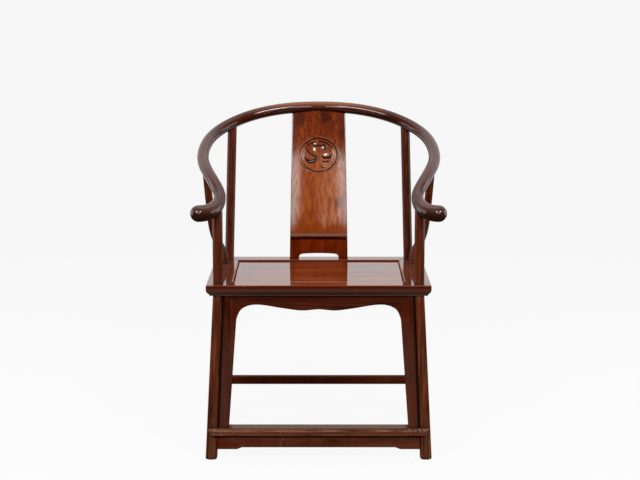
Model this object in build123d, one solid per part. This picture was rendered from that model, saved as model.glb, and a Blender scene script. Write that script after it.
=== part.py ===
from build123d import *
import os
from math import sqrt

# Horseshoe back armchair in jointed hardwood. Millimetres, +Z up.
# While the pieces are made, Y = 0 is the seat's front edge and +Y runs to the back; X = 0 is the
# chair's plane of symmetry. Every piece is moved at the end so that the origin lies on the floor
# under the middle of the overall box.

# ---------------------------------------------------------------- seat
SEAT_WIDTH = 620.0
SEAT_DEPTH = 472.0
SEAT_HEIGHT = 495.0
SEAT_THICK = 30.5
FRONT_MEMBER = 65.0            # width of the front rail
REAR_MEMBER = 63.0             # width of the rear rail
SIDE_MEMBER = 73.0             # width of the side rails
EDGE_IN = 11.5                 # how far the moulded edge runs in under the seat
EDGE_NOSE = 15.5               # height of the upright nose of the edge
EDGE_ROUND = 4.0
BEAD_HIGH = 3.0                # small bead along the bottom of the edge
BEAD_STEP = 1.5
PANEL_DROP = 4.5               # seat panel below the top of the frame
PANEL_SEAM = 0.6               # open seam round the panel's face
PANEL_THICK = 10.0
TONGUE_THICK = 6.0             # tongue round the panel, in a groove in the rails
TONGUE_DEEP = 8.0
TONGUE_DOWN = 2.0              # top of the tongue below the panel's face
GROOVE_DEEP = 9.0
MITRE_TENON_WIDE = 16.0
MITRE_TENON_THICK = 10.0
MITRE_TENON_LONG = 44.0
MITRE_TENON_IN = 5.0           # from the rail's inner edge
MITRE_TENON_START = 6.0        # its root inside the mitre
MITRE_TENON_UP = 3.0           # above the rail's underside
BATTEN_WIDE = 26.0
BATTEN_HIGH = 16.0
BATTEN_X = 95.0
DOVETAIL_DEEP = 3.0
DOVETAIL_FLARE = 2.0
FIT = 0.25                     # gap all round a round tenon or post in its hole
COPE_GAP = 0.2                 # gap between a post's coped end and the round rail

# ---------------------------------------------------------------- legs and posts
POST_R = 14.1                  # front posts above the seat
REAR_POST_R = 13.5
FRONT_LEG_SIDE_IN = 32.6       # leg centre at the seat, in from the seat's side edge
FRONT_LEG_FRONT_IN = 26.0      # and in from its front edge
FRONT_SPLAY_OUT = 23.1         # how far the foot stands out sideways from there
FRONT_SPLAY_FORWARD = 9.8
REAR_LEG_SIDE_IN = 40.5
REAR_LEG_BACK_IN = 36.0        # in from the seat's rear edge
REAR_SPLAY_OUT = 22.5
REAR_SPLAY_BACK = 16.0
REAR_POST_TOP_SIDE_IN = 52.0   # where it meets the crest rail, in from the seat's side edge
LEG_TOP = 29.2                 # leg section at the top and at the floor
LEG_FOOT = 32.2
LEG_OUT_ROUND = 9.0            # large rounding on the outer corner
LEG_EDGE_ROUND = 3.5
FOOT_CHAMFER = 2.0
TENON_R = 6.0                  # round tenons of the posts in the crest rail
TENON_ROOT = 32.0              # the tenon starts this far under the rail's centreline
TENON_SHORT = 2.0              # and stops this far under it
HOLE_SHORT = 1.5               # the tenon's hole goes on to here
SIDE_FOOT_TENON_LONG = 16.0    # side post's tenon in the seat
HOLE_OVER = 0.5                # extra depth of a blind hole

# ---------------------------------------------------------------- crest rail
RAIL_R = 16.7
GRIP_R = 23.0
GRIP_SWELL = 125.0             # length over which the arm swells into the hand grip
SCARF_LONG = 62.0
KEY_SIDE = 8.0
INNER_SCARF = 172.0            # distance along the rail from the middle of the back
OUTER_SCARF = 588.0
STATION = 26.0                 # spacing of the round sections along a bent member
CREST_BACK = 76.0              # middle of the rail's back, behind the seat's rear edge
CREST_UP = 447.5               # and above the seat
RAIL_REAR_GUIDES = (           # centreline: out from the seat's side, behind its rear edge, above it
    (-196.5, 61.0, 442.0),
    (-81.5, 19.5, 417.0),
    (-13.5, -45.0, 386.0),
    (17.5, -134.0, 354.5),
)
RAIL_ARM_GUIDES = (            # out from the seat's side, behind its front edge, above it
    (20.5, 245.0, 318.5),
    (1.5, 172.5, 291.5),
    (-22.0, 112.0, 265.0),
    (-37.0, 66.5, 238.5),
    (-31.5, 28.0, 217.5),
    (15.5, -22.0, 203.0),
)

# ---------------------------------------------------------------- side posts
SIDE_FOOT_SIDE_IN = 31.0       # its foot, in from the seat's side edge
SIDE_FOOT_BACK_IN = 120.0      # and in from its rear edge
SIDE_POST_GUIDES = (           # centreline: out, back and up from the foot
    (2.5, -0.5, 30.0),
    (19.5, -5.0, 67.0),
    (32.5, -13.0, 111.0),
    (38.5, -24.5, 165.0),
    (45.0, -39.5, 245.0),
)
SIDE_POST_FORWARD = 49.0       # it meets the crest rail this far in front of its foot
SIDE_POST_END_LEAN = (0.08, -0.1, 1)
SIDE_POST_FOOT_R = 12.6
SIDE_POST_TOP_R = 10.4
SIDE_TENON_R = 6.0

# ---------------------------------------------------------------- back splat
SPLAT_THICK = 15.0
SPLAT_BACK_IN = 41.0           # front face at the seat, in from the seat's rear edge
SPLAT_BEND = 1.5               # power of the height that the splat leans back with
SPLAT_BOTTOM_W = 174.0
SPLAT_TOP_W = 160.0
LEDGE_UP = 68.0                # the part below this height above the seat is set back
LEDGE_DEEP = 4.0
FOOT_W = 27.0
FOOT_TENON_W = 16.0
FOOT_TENON_T = 7.0
FOOT_TENON_LONG = 14.0
CREST_TENON_W = 118.0
CREST_TENON_T = 7.0
CREST_TENON_LONG = 9.0
CREST_TENON_ROOT = 6.0
KICK_THICK = 7.0
KICK_SET_BACK = 2.0            # behind the feet
KICK_TONGUE = 4.0
KICK_TONGUE_THICK = 3.0
KICK_DOWN = 1.5                # top of the board below the ledge
KICK_UP = 16.0                 # top of the arch above the seat
KICK_FOOT = 3.0                # width of the board where the arch meets the seat
MEDALLION_UP = 307.0
MEDALLION_W = 107.0
MEDALLION_H = 96.0
MEDALLION_RAISE = 2.5
RING_W = 122.0
RING_H = 104.0
RING_SINK = 1.5
PIERCINGS = (                  # (x, z above the middle, half width, half height)
    (-14.0, 16.5, 5.0, 4.2),
    (20.0, 0.0, 5.5, 4.2),
    (12.0, 20.5, 4.0, 3.4),
    (-10.5, 31.5, 4.0, 3.2),
    (-25.0, -14.0, 6.5, 3.8),
)

# ---------------------------------------------------------------- aprons, heights below the seat's underside
APRON_THICK = 12.0
APRON_SET_BACK = 3.5           # behind the legs' faces
APRON_TONGUE = 6.0
APRON_TONGUE_THICK = 5.0
APRON_TONGUE_HALF = 180.0
FRONT_OPEN_IN = 49.2           # opening's edge at the foot of its curve, from the leg's centre at the seat
FRONT_STRIP_TAPER = 0.0238     # narrowing of the front strips, per millimetre down
SIDE_OPEN_IN = 49.1
CURVE_DOWN = 76.5              # where the corner curve runs into the upright strip
CUSP_DOWN = 38.5               # lowest part of the lobed edge, in the middle
LOBE_DROP = 3.4
PEAK_DOWN = 25.6               # highest part, near the corners
SHOULDER_WIDE = 64.0           # from the highest part out to the strip
REAR_APRON_HIGH = 32.5
MITRE_RISE = 0.79              # slope of the mitres between apron and strips

# ---------------------------------------------------------------- low frame
FOOTREST_TOP = 90.4
FOOTREST_THICK = 20.0
FOOTREST_OUT = 7.5             # end of the board, out from the foot's centre
FOOTREST_LIP = 7.2             # front of the board, before the leg's face
FOOTREST_WIDE = 51.2
FOOTREST_SLANT = 8.5           # how far the end of the lip slants in
FOOTREST_ROUND = 3.0
FOOTREST_LEG_GAP = 0.5         # behind the leg the board ends this far inside its face
FOOTREST_APRON_LOW = 29.5
FOOTREST_APRON_RISE = 5.5
BRACKET_LONG = 86.5            # low end of the footrest's apron, in from the foot's centre
BRACKET_SLOPE = 14.0
REST_TONGUE_HALF = 200.0
REST_TONGUE_DEEP = 5.0
SIDE_STRETCHER_TOP = 151.0
SIDE_STRETCHER_HIGH = 25.0
REAR_STRETCHER_TOP = 130.7
REAR_STRETCHER_HIGH = 25.0
STRETCHER_THICK = 21.0
STRETCHER_ROUND = 4.0
TENON_HIGH = 15.0
TENON_THICK = 8.0
REAR_TENON_SHORT = 5.0         # rear stretcher's tenons stop this far before the leg's centre

# ---------------------------------------------------------------- places worked out from the sizes
OVER = 5.0                     # how far a cutting shape reaches past the face it cuts
SEAT_BOTTOM = SEAT_HEIGHT - SEAT_THICK
PANEL_TOP = SEAT_HEIGHT - PANEL_DROP
TONGUE_TOP = PANEL_TOP - TONGUE_DOWN
HALF_W = SEAT_WIDTH / 2
INNER_X = HALF_W - SIDE_MEMBER
INNER_FRONT = FRONT_MEMBER
INNER_REAR = SEAT_DEPTH - REAR_MEMBER

FRONT_LEG_X = HALF_W - FRONT_LEG_SIDE_IN
FRONT_LEG_Y = FRONT_LEG_FRONT_IN
FRONT_FOOT_X = FRONT_LEG_X + FRONT_SPLAY_OUT
FRONT_FOOT_Y = FRONT_LEG_Y - FRONT_SPLAY_FORWARD
REAR_LEG_X = HALF_W - REAR_LEG_SIDE_IN
REAR_LEG_Y = SEAT_DEPTH - REAR_LEG_BACK_IN
REAR_FOOT_X = REAR_LEG_X + REAR_SPLAY_OUT
REAR_FOOT_Y = REAR_LEG_Y + REAR_SPLAY_BACK
REAR_POST_TOP_X = HALF_W - REAR_POST_TOP_SIDE_IN

CREST_Y = SEAT_DEPTH + CREST_BACK
CREST_Z = SEAT_HEIGHT + CREST_UP
SIDE_FOOT_X = HALF_W - SIDE_FOOT_SIDE_IN
SIDE_FOOT_Y = SEAT_DEPTH - SIDE_FOOT_BACK_IN

SPLAT_BASE_Y = SEAT_DEPTH - SPLAT_BACK_IN
SPLAT_LEAN = CREST_Y - SPLAT_THICK / 2 - SPLAT_BASE_Y
LEDGE_Z = SEAT_HEIGHT + LEDGE_UP
KICK_BOTTOM = SEAT_HEIGHT + KICK_UP
MEDALLION_Z = SEAT_HEIGHT + MEDALLION_UP

CURVE_END_Z = SEAT_BOTTOM - CURVE_DOWN
CUSP_Z = SEAT_BOTTOM - CUSP_DOWN
PEAK_Z = SEAT_BOTTOM - PEAK_DOWN
OPEN_HALF = FRONT_LEG_X - FRONT_OPEN_IN
OPEN_SPLAY = FRONT_SPLAY_OUT / SEAT_BOTTOM + FRONT_STRIP_TAPER
SIDE_OPEN_SPLAY = (FRONT_SPLAY_FORWARD + REAR_SPLAY_BACK) / 2 / SEAT_BOTTOM

BACK_LIMIT = CREST_Y + RAIL_R
FRONT_LIMIT = RAIL_ARM_GUIDES[-1][1] - GRIP_R
SHIFT_Y = -(BACK_LIMIT + FRONT_LIMIT) / 2
FAR = SEAT_WIDTH + SEAT_DEPTH  # reach of a shape that cuts right across the chair


def block(x0, x1, y0, y1, z0, z1):
    """A box between two corners."""
    return Pos((x0 + x1) / 2, (y0 + y1) / 2, (z0 + z1) / 2) * Box(x1 - x0, y1 - y0, z1 - z0)


def mirrored(shape):
    """The same piece on the other side of the chair."""
    return mirror(shape, about=Plane.YZ)


def rod(start, end, radius):
    """A round bar between two points."""
    line = Vector(*end) - Vector(*start)
    plane = Plane(origin=start, z_dir=line)
    return plane * Cylinder(radius, line.length, align=(Align.CENTER, Align.CENTER, Align.MIN))


def one(shape):
    """The single solid of a result."""
    solids = shape.solids()
    assert len(solids) == 1, len(solids)
    return solids[0]


# ---------------------------------------------------------------- bent round members
def frame_at(path, along, across=None):
    """Plane square to a path at a distance along it; its x axis lies level, or as near across as it can."""
    share = min(max(along / path.length, 0.0), 1.0)
    tangent = path % share
    if across is None:
        across = Vector(tangent.Y, -tangent.X, 0)
    across = across - tangent * across.dot(tangent)
    return Plane(origin=path @ share, x_dir=across, z_dir=tangent)


def tube(path, start, end, radius_at, across=None):
    """A round member lofted through circles along a path."""
    count = max(3, round((end - start) / STATION))
    sections = []
    for i in range(count + 1):
        along = start + (end - start) * i / count
        sections.append(frame_at(path, along, across) * Circle(radius_at(along)))
    return loft(sections)


right_half = [(HALF_W + out, SEAT_DEPTH + back, SEAT_HEIGHT + up) for out, back, up in RAIL_REAR_GUIDES]
right_half += [(HALF_W + out, back, SEAT_HEIGHT + up) for out, back, up in RAIL_ARM_GUIDES]
left_half = [(-x, y, z) for x, y, z in reversed(right_half)]
rail_path = Spline(*left_half, (0, CREST_Y, CREST_Z), *right_half)
rail_middle = rail_path.length / 2
rail_end = rail_middle         # distance from the middle to the end of a grip's straight part


def rail_at(along):
    """Point on the rail's centreline at a distance from its middle, right side positive."""
    return rail_path @ ((rail_middle + along) / rail_path.length)


def along_where(miss, low, high):
    """Distance along the rail, between low and high, where a measure of its centreline is nearest to 0."""
    return float(min(range(int(low), int(high)), key=lambda s: abs(miss(rail_at(s)))))


def rail_radius(along):
    """Radius of the crest rail, swelling smoothly into the hand grips."""
    out = abs(along - rail_middle)
    t = (out - (rail_end - GRIP_SWELL)) / GRIP_SWELL
    t = min(max(t, 0.0), 1.0)
    swell = t * t * (3 - 2 * t)
    return RAIL_R + (GRIP_R - RAIL_R) * swell


def rail_length(start, end, extra=0.0):
    """Crest rail between two distances from its middle, right side positive."""
    return tube(rail_path, rail_middle + start, rail_middle + end, lambda s: rail_radius(s) + extra)


def scarf_box(along, t0, t1, upper):
    """Block about a scarf: t0..t1 along the rail, and the upper, lower or whole section."""
    plane = frame_at(rail_path, rail_middle + along)
    reach = 2 * GRIP_R
    low, high = {"upper": (0, reach), "lower": (-reach, 0), "whole": (-reach, reach)}[upper]
    # the plane's local y axis points up on the right side of the chair
    solid = Pos(0, (low + high) / 2, (t0 + t1) / 2) * Box(2 * reach, high - low, t1 - t0)
    return plane * solid


def key_block(along):
    """Square key through the middle of a scarf, lying level across the rail."""
    plane = frame_at(rail_path, rail_middle + along)
    return plane * Box(4 * GRIP_R, KEY_SIDE, KEY_SIDE)


half_scarf = SCARF_LONG / 2
margin = half_scarf / 2        # stock left past a scarf before its end is cut
far = half_scarf + 2 * margin  # reach of the cut past the scarf's end

centre_piece = rail_length(-INNER_SCARF - half_scarf - margin, INNER_SCARF + half_scarf + margin)
for side in (-1, 1):
    # the centre length keeps the lower half of each inner scarf
    t_near = (half_scarf, half_scarf + far)
    t_lap = (-half_scarf, half_scarf + far)
    if side < 0:
        t_near = (-half_scarf - far, -half_scarf)
        t_lap = (-half_scarf - far, half_scarf)
    centre_piece -= scarf_box(side * INNER_SCARF, *t_near, "whole")
    centre_piece -= scarf_box(side * INNER_SCARF, *t_lap, "upper")
    centre_piece -= key_block(side * INNER_SCARF)

shoulder = rail_length(INNER_SCARF - half_scarf - margin, OUTER_SCARF + half_scarf + margin)
shoulder -= scarf_box(INNER_SCARF, -half_scarf - far, -half_scarf, "whole")
shoulder -= scarf_box(INNER_SCARF, -half_scarf - far, half_scarf, "lower")
shoulder -= scarf_box(OUTER_SCARF, half_scarf, half_scarf + far, "whole")
shoulder -= scarf_box(OUTER_SCARF, -half_scarf, half_scarf + far, "upper")
shoulder -= key_block(INNER_SCARF)
shoulder -= key_block(OUTER_SCARF)

arm = rail_length(OUTER_SCARF - half_scarf - margin, rail_end)
grip_end = frame_at(rail_path, rail_path.length) * Sphere(GRIP_R, arc_size1=0, align=None)
arm += grip_end
arm -= scarf_box(OUTER_SCARF, -half_scarf - far, -half_scarf, "whole")
arm -= scarf_box(OUTER_SCARF, -half_scarf - far, half_scarf, "lower")
arm -= key_block(OUTER_SCARF)

inner_key = key_block(INNER_SCARF) & rail_length(INNER_SCARF - SCARF_LONG, INNER_SCARF + SCARF_LONG)
outer_key = key_block(OUTER_SCARF) & rail_length(OUTER_SCARF - SCARF_LONG, OUTER_SCARF + SCARF_LONG)


# ---------------------------------------------------------------- legs and posts
def leg_centre(foot, top, z):
    """Value at a height of a leg, from its values at the floor and at the underside of the seat."""
    return foot + (top - foot) * z / SEAT_BOTTOM


def leg_section(centre_x, centre_y, z, side, out_y, inset=0.0):
    """Section of a right hand leg: rounded on its outer corner, crisp inside; inset all round at the foot."""
    side = side - 2 * inset
    with BuildSketch(Plane.XY.offset(z)) as section:
        with Locations((centre_x, centre_y)):
            Rectangle(side, side)
        corners = section.vertices().sort_by(Axis.X)
        outer = corners[2:].sort_by(Axis.Y)
        inner = corners[:2].sort_by(Axis.Y)
        if out_y < 0:
            big, mid_a, mid_b = outer[0], outer[1], inner[0]
        else:
            big, mid_a, mid_b = outer[1], outer[0], inner[1]
        fillet(big, LEG_OUT_ROUND - inset)
    middle = section.sketch
    corners = middle.vertices()
    near_a = corners.sort_by_distance(mid_a.center())[0]
    near_b = corners.sort_by_distance(mid_b.center())[0]
    return fillet([near_a, near_b], LEG_EDGE_ROUND - inset / 2)


def leg_below(foot_x, foot_y, top_x, top_y, out_y):
    """Tapered, splayed leg from the floor to the underside of the seat."""
    top = leg_section(top_x, top_y, SEAT_BOTTOM, LEG_TOP, out_y)
    above_foot = leg_section(leg_centre(foot_x, top_x, FOOT_CHAMFER), leg_centre(foot_y, top_y, FOOT_CHAMFER),
                             FOOT_CHAMFER, leg_centre(LEG_FOOT, LEG_TOP, FOOT_CHAMFER), out_y)
    floor = leg_section(foot_x, foot_y, 0, LEG_FOOT, out_y, FOOT_CHAMFER)
    return loft([floor, above_foot], ruled=True) + loft([above_foot, top], ruled=True)


def coped(post, along):
    """Post cut to the round underside of the crest rail."""
    reach = 3 * GRIP_R
    return post - rail_length(along - reach, min(along + reach, rail_end), COPE_GAP)


def crest_tenon_and_hole(top, lean, radius):
    """Round tenon that ends under the rail's centreline, and the hole it goes in."""
    root = top - lean * TENON_ROOT
    tenon = rod(tuple(root), tuple(top - lean * TENON_SHORT), radius)
    hole = rod(tuple(root - lean * OVER), tuple(top - lean * HOLE_SHORT), radius + FIT)
    return tenon, hole


up = Vector(0, 0, 1)
front_along = along_where(lambda p: p.Y - FRONT_LEG_Y, rail_end * 0.8, rail_end)
front_top = Vector(FRONT_LEG_X, FRONT_LEG_Y, rail_at(front_along).Z)
front_leg_raw = leg_below(FRONT_FOOT_X, FRONT_FOOT_Y, FRONT_LEG_X, FRONT_LEG_Y, -1)
front_post = coped(rod((FRONT_LEG_X, FRONT_LEG_Y, SEAT_BOTTOM), tuple(front_top), POST_R), front_along)
front_tenon, front_tenon_hole = crest_tenon_and_hole(front_top, up, TENON_R)

rear_along = along_where(lambda p: p.X - REAR_POST_TOP_X, 0, rail_end * 0.45)
rear_top = rail_at(rear_along)
rear_leg_raw = leg_below(REAR_FOOT_X, REAR_FOOT_Y, REAR_LEG_X, REAR_LEG_Y, 1)
rear_axis_low = Vector(REAR_LEG_X, REAR_LEG_Y, SEAT_BOTTOM)
rear_lean = (rear_top - rear_axis_low).normalized()
rear_post = coped(rod(tuple(rear_axis_low), tuple(rear_top), REAR_POST_R), rear_along)
rear_tenon, rear_tenon_hole = crest_tenon_and_hole(rear_top, rear_lean, TENON_R)

# side posts: a round member that leans out and straightens, thinner towards the arm
side_along = along_where(lambda p: p.Y - (SIDE_FOOT_Y - SIDE_POST_FORWARD), rail_end * 0.4, rail_end * 0.8)
side_top = rail_at(side_along)
side_foot = Vector(SIDE_FOOT_X, SIDE_FOOT_Y, SEAT_HEIGHT)
side_guides = [tuple(side_foot + Vector(*step)) for step in SIDE_POST_GUIDES]
side_path = Spline(tuple(side_foot), *side_guides, tuple(side_top), tangents=[(0, 0, 1), SIDE_POST_END_LEAN])


def side_radius(along):
    """Radius of a side post, from its foot to its top."""
    share = along / side_path.length
    return SIDE_POST_FOOT_R + (SIDE_POST_TOP_R - SIDE_POST_FOOT_R) * share


side_post = tube(side_path, 0.0, side_path.length, side_radius, Vector(0, 1, 0))
side_post = coped(side_post, side_along)
side_post = side_post.solids().sort_by(SortBy.VOLUME)[-1]
side_foot_tenon = rod(tuple(side_foot - up * SIDE_FOOT_TENON_LONG), tuple(side_foot + up), SIDE_TENON_R)
side_foot_hole = rod(tuple(side_foot - up * (SIDE_FOOT_TENON_LONG + HOLE_OVER)), tuple(side_foot + up),
                     SIDE_TENON_R + FIT)
side_crest_tenon, side_crest_hole = crest_tenon_and_hole(side_top, up, SIDE_TENON_R)
side_post = side_post + side_foot_tenon + side_crest_tenon


# ---------------------------------------------------------------- seat frame
def rail_moulding(member, length):
    """Seat rail stock: outer edge at Y = 0, inner edge with the panel groove at Y = member."""
    nose_low = SEAT_HEIGHT - EDGE_NOSE
    bead_top = SEAT_BOTTOM + BEAD_HIGH
    with BuildSketch(Plane(origin=(0, 0, 0), x_dir=(0, 1, 0), z_dir=(1, 0, 0))) as section:
        with BuildLine():
            Polyline(
                (0, SEAT_HEIGHT - EDGE_ROUND),
                (0, nose_low),
            )
            ThreePointArc(
                (0, nose_low),
                (EDGE_IN * 0.2, nose_low - (nose_low - bead_top) * 0.6),
                (EDGE_IN - BEAD_STEP, bead_top),
            )
            Polyline(
                (EDGE_IN - BEAD_STEP, bead_top),
                (EDGE_IN, bead_top),
                (EDGE_IN, SEAT_BOTTOM),
                (member, SEAT_BOTTOM),
                (member, TONGUE_TOP - TONGUE_THICK),
                (member - GROOVE_DEEP, TONGUE_TOP - TONGUE_THICK),
                (member - GROOVE_DEEP, TONGUE_TOP),
                (member, TONGUE_TOP),
                (member, SEAT_HEIGHT),
                (EDGE_ROUND, SEAT_HEIGHT),
            )
            ThreePointArc(
                (EDGE_ROUND, SEAT_HEIGHT),
                (EDGE_ROUND * (1 - sqrt(0.5)), SEAT_HEIGHT - EDGE_ROUND * (1 - sqrt(0.5))),
                (0, SEAT_HEIGHT - EDGE_ROUND),
            )
        make_face()
    return extrude(section.sketch, amount=length / 2, both=True)


def prism(points, z0, z1):
    """Upright prism over a plan outline."""
    outline = make_face(Polyline(*points, close=True))
    return Pos(0, 0, z0) * extrude(outline, amount=z1 - z0)


z_lo = SEAT_BOTTOM - OVER
z_hi = SEAT_HEIGHT + OVER
front_plan = prism([(-HALF_W, 0), (HALF_W, 0), (INNER_X, INNER_FRONT), (-INNER_X, INNER_FRONT)], z_lo, z_hi)
rear_plan = prism([
    (-HALF_W, SEAT_DEPTH), (-INNER_X, INNER_REAR), (INNER_X, INNER_REAR), (HALF_W, SEAT_DEPTH),
], z_lo, z_hi)
right_plan = prism([(HALF_W, 0), (HALF_W, SEAT_DEPTH), (INNER_X, INNER_REAR), (INNER_X, INNER_FRONT)],
                   z_lo, z_hi)

seat_front = rail_moulding(FRONT_MEMBER, SEAT_WIDTH) & front_plan
seat_rear = (Pos(0, SEAT_DEPTH, 0) * Rot(0, 0, 180) * rail_moulding(REAR_MEMBER, SEAT_WIDTH)) & rear_plan
seat_right = Pos(HALF_W, SEAT_DEPTH / 2, 0) * Rot(0, 0, 90) * rail_moulding(SIDE_MEMBER, SEAT_DEPTH)
seat_right &= right_plan


def mitre_tenon(inner_y, sign):
    """Flat tenon from the front or rear rail into the right side rail; a post that meets it locks it."""
    y0 = inner_y + sign * MITRE_TENON_IN
    y1 = inner_y + sign * (MITRE_TENON_IN + MITRE_TENON_WIDE)
    x0 = INNER_X + MITRE_TENON_START
    z0 = SEAT_BOTTOM + MITRE_TENON_UP
    return block(x0, x0 + MITRE_TENON_LONG, min(y0, y1), max(y0, y1), z0, z0 + MITRE_TENON_THICK)


for inner_y, sign in ((INNER_FRONT, -1), (INNER_REAR, 1)):
    tenon = mitre_tenon(inner_y, sign)
    seat_right -= tenon
    if sign < 0:
        seat_front = seat_front + tenon + mirrored(tenon)
    else:
        seat_rear = seat_rear + tenon + mirrored(tenon)

front_hole = rod((FRONT_LEG_X, FRONT_LEG_Y, z_lo), (FRONT_LEG_X, FRONT_LEG_Y, z_hi), POST_R + FIT)
rear_hole = rod(tuple(rear_axis_low - rear_lean * 3 * OVER),
                tuple(rear_axis_low + rear_lean * 2 * SEAT_THICK), REAR_POST_R + FIT)
seat_right = seat_right - front_hole - rear_hole - side_foot_hole
seat_front = seat_front - front_hole - mirrored(front_hole)
seat_rear = seat_rear - rear_hole - mirrored(rear_hole)

panel = block(-INNER_X + PANEL_SEAM, INNER_X - PANEL_SEAM, INNER_FRONT + PANEL_SEAM, INNER_REAR - PANEL_SEAM,
              PANEL_TOP - PANEL_THICK, PANEL_TOP)
panel += block(-INNER_X - TONGUE_DEEP, INNER_X + TONGUE_DEEP,
               INNER_FRONT - TONGUE_DEEP, INNER_REAR + TONGUE_DEEP, TONGUE_TOP - TONGUE_THICK, TONGUE_TOP)

batten_top = PANEL_TOP - PANEL_THICK + DOVETAIL_DEEP


def batten(x):
    """Dovetailed batten across the panel's underside, ending against the front and rear rails."""
    half = BATTEN_WIDE / 2
    low = batten_top - BATTEN_HIGH
    neck = batten_top - DOVETAIL_DEEP
    outline = Polyline(
        (x - half, low),
        (x + half, low),
        (x + half, neck),
        (x + half - DOVETAIL_FLARE, neck),
        (x + half, batten_top),
        (x - half, batten_top),
        (x - half + DOVETAIL_FLARE, neck),
        (x - half, neck),
        close=True,
    )
    face = Plane(origin=(0, INNER_REAR, 0), x_dir=(1, 0, 0), z_dir=(0, -1, 0)) * make_face(outline)
    return extrude(face, amount=INNER_REAR - INNER_FRONT)


right_batten = batten(BATTEN_X)
panel = panel - right_batten - mirrored(right_batten)


# ---------------------------------------------------------------- back splat
def splat_front_y(z):
    """Front face of the splat: upright at the seat, lying back more and more towards the crest."""
    share = max(z - SEAT_HEIGHT, 0) / CREST_UP
    return SPLAT_BASE_Y + SPLAT_LEAN * share ** SPLAT_BEND


def splat_sheet(front_offset, thick, z0, z1):
    """Bent sheet, front_offset in front of the splat's face, as wide as the stock."""
    levels = [z0 + (z1 - z0) * i / 8 for i in range(9)]
    front = [(splat_front_y(z) - front_offset, z) for z in levels]
    back = [(y + thick, z) for y, z in reversed(front)]
    yz = Plane(origin=(0, 0, 0), x_dir=(0, 1, 0), z_dir=(1, 0, 0))
    with BuildSketch(yz) as section:
        with BuildLine():
            Spline(*front)
            Line(front[-1], back[0])
            Spline(*back)
            Line(back[-1], front[0])
        make_face()
    return extrude(section.sketch, amount=SPLAT_BOTTOM_W, both=True)


def front_prism(points):
    """Prism through the back of the chair over an outline seen from the front."""
    plane = Plane(origin=(0, FAR, 0), x_dir=(1, 0, 0), z_dir=(0, -1, 0))
    return extrude(plane * make_face(Polyline(*points, close=True)), amount=FAR)


def oval_prism(x, z, half_x, half_z):
    """Oval prism through the back of the chair."""
    plane = Plane(origin=(x, FAR, z), x_dir=(1, 0, 0), z_dir=(0, -1, 0))
    return extrude(plane * Ellipse(half_x, half_z), amount=FAR)


splat = splat_sheet(0, SPLAT_THICK, SEAT_HEIGHT, CREST_Z)
splat &= front_prism([
    (-SPLAT_BOTTOM_W / 2, SEAT_HEIGHT - OVER),
    (SPLAT_BOTTOM_W / 2, SEAT_HEIGHT - OVER),
    (SPLAT_TOP_W / 2, CREST_Z + OVER),
    (-SPLAT_TOP_W / 2, CREST_Z + OVER),
])
medallion_zone = oval_prism(0, MEDALLION_Z, MEDALLION_W / 2, MEDALLION_H / 2)
ring_zone = oval_prism(0, MEDALLION_Z, RING_W / 2, RING_H / 2) - medallion_zone
carved = (MEDALLION_Z - RING_H / 2 - OVER, MEDALLION_Z + RING_H / 2 + OVER)
splat += splat_sheet(MEDALLION_RAISE, MEDALLION_RAISE + SPLAT_THICK / 2, *carved) & medallion_zone
splat -= splat_sheet(OVER, OVER + RING_SINK, *carved) & ring_zone
for x, dz, half_x, half_z in PIERCINGS:
    splat -= oval_prism(x, MEDALLION_Z + dz, half_x, half_z)

# the part under the ledge is set back, and its middle is open between two feet
splat -= splat_sheet(OVER, OVER + LEDGE_DEEP, SEAT_HEIGHT, LEDGE_Z)
foot_inner = SPLAT_BOTTOM_W / 2 - FOOT_W
kick_top = LEDGE_Z - KICK_DOWN
splat -= block(-foot_inner, foot_inner, 0, FAR, SEAT_HEIGHT - OVER, kick_top)

foot_y = SPLAT_BASE_Y + LEDGE_DEEP + (SPLAT_THICK - LEDGE_DEEP) / 2
for side in (-1, 1):
    foot_x = side * (SPLAT_BOTTOM_W / 2 - FOOT_W / 2)
    foot_tenon = block(foot_x - FOOT_TENON_W / 2, foot_x + FOOT_TENON_W / 2,
                       foot_y - FOOT_TENON_T / 2, foot_y + FOOT_TENON_T / 2,
                       SEAT_HEIGHT - FOOT_TENON_LONG, SEAT_HEIGHT + 1)
    splat += foot_tenon
    seat_rear -= foot_tenon

# the top is coped to the crest rail, with a long tenon into its underside
splat -= rail_length(-SPLAT_BOTTOM_W, SPLAT_BOTTOM_W, COPE_GAP)
splat = splat.solids().sort_by(SortBy.VOLUME)[-1]
crest_low = CREST_Z - RAIL_R
crest_y = splat_front_y(crest_low) + SPLAT_THICK / 2
crest_tenon = block(-CREST_TENON_W / 2, CREST_TENON_W / 2,
                    crest_y - CREST_TENON_T / 2, crest_y + CREST_TENON_T / 2,
                    crest_low - CREST_TENON_ROOT, crest_low + CREST_TENON_LONG)
splat = splat + crest_tenon
centre_piece -= crest_tenon

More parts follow.
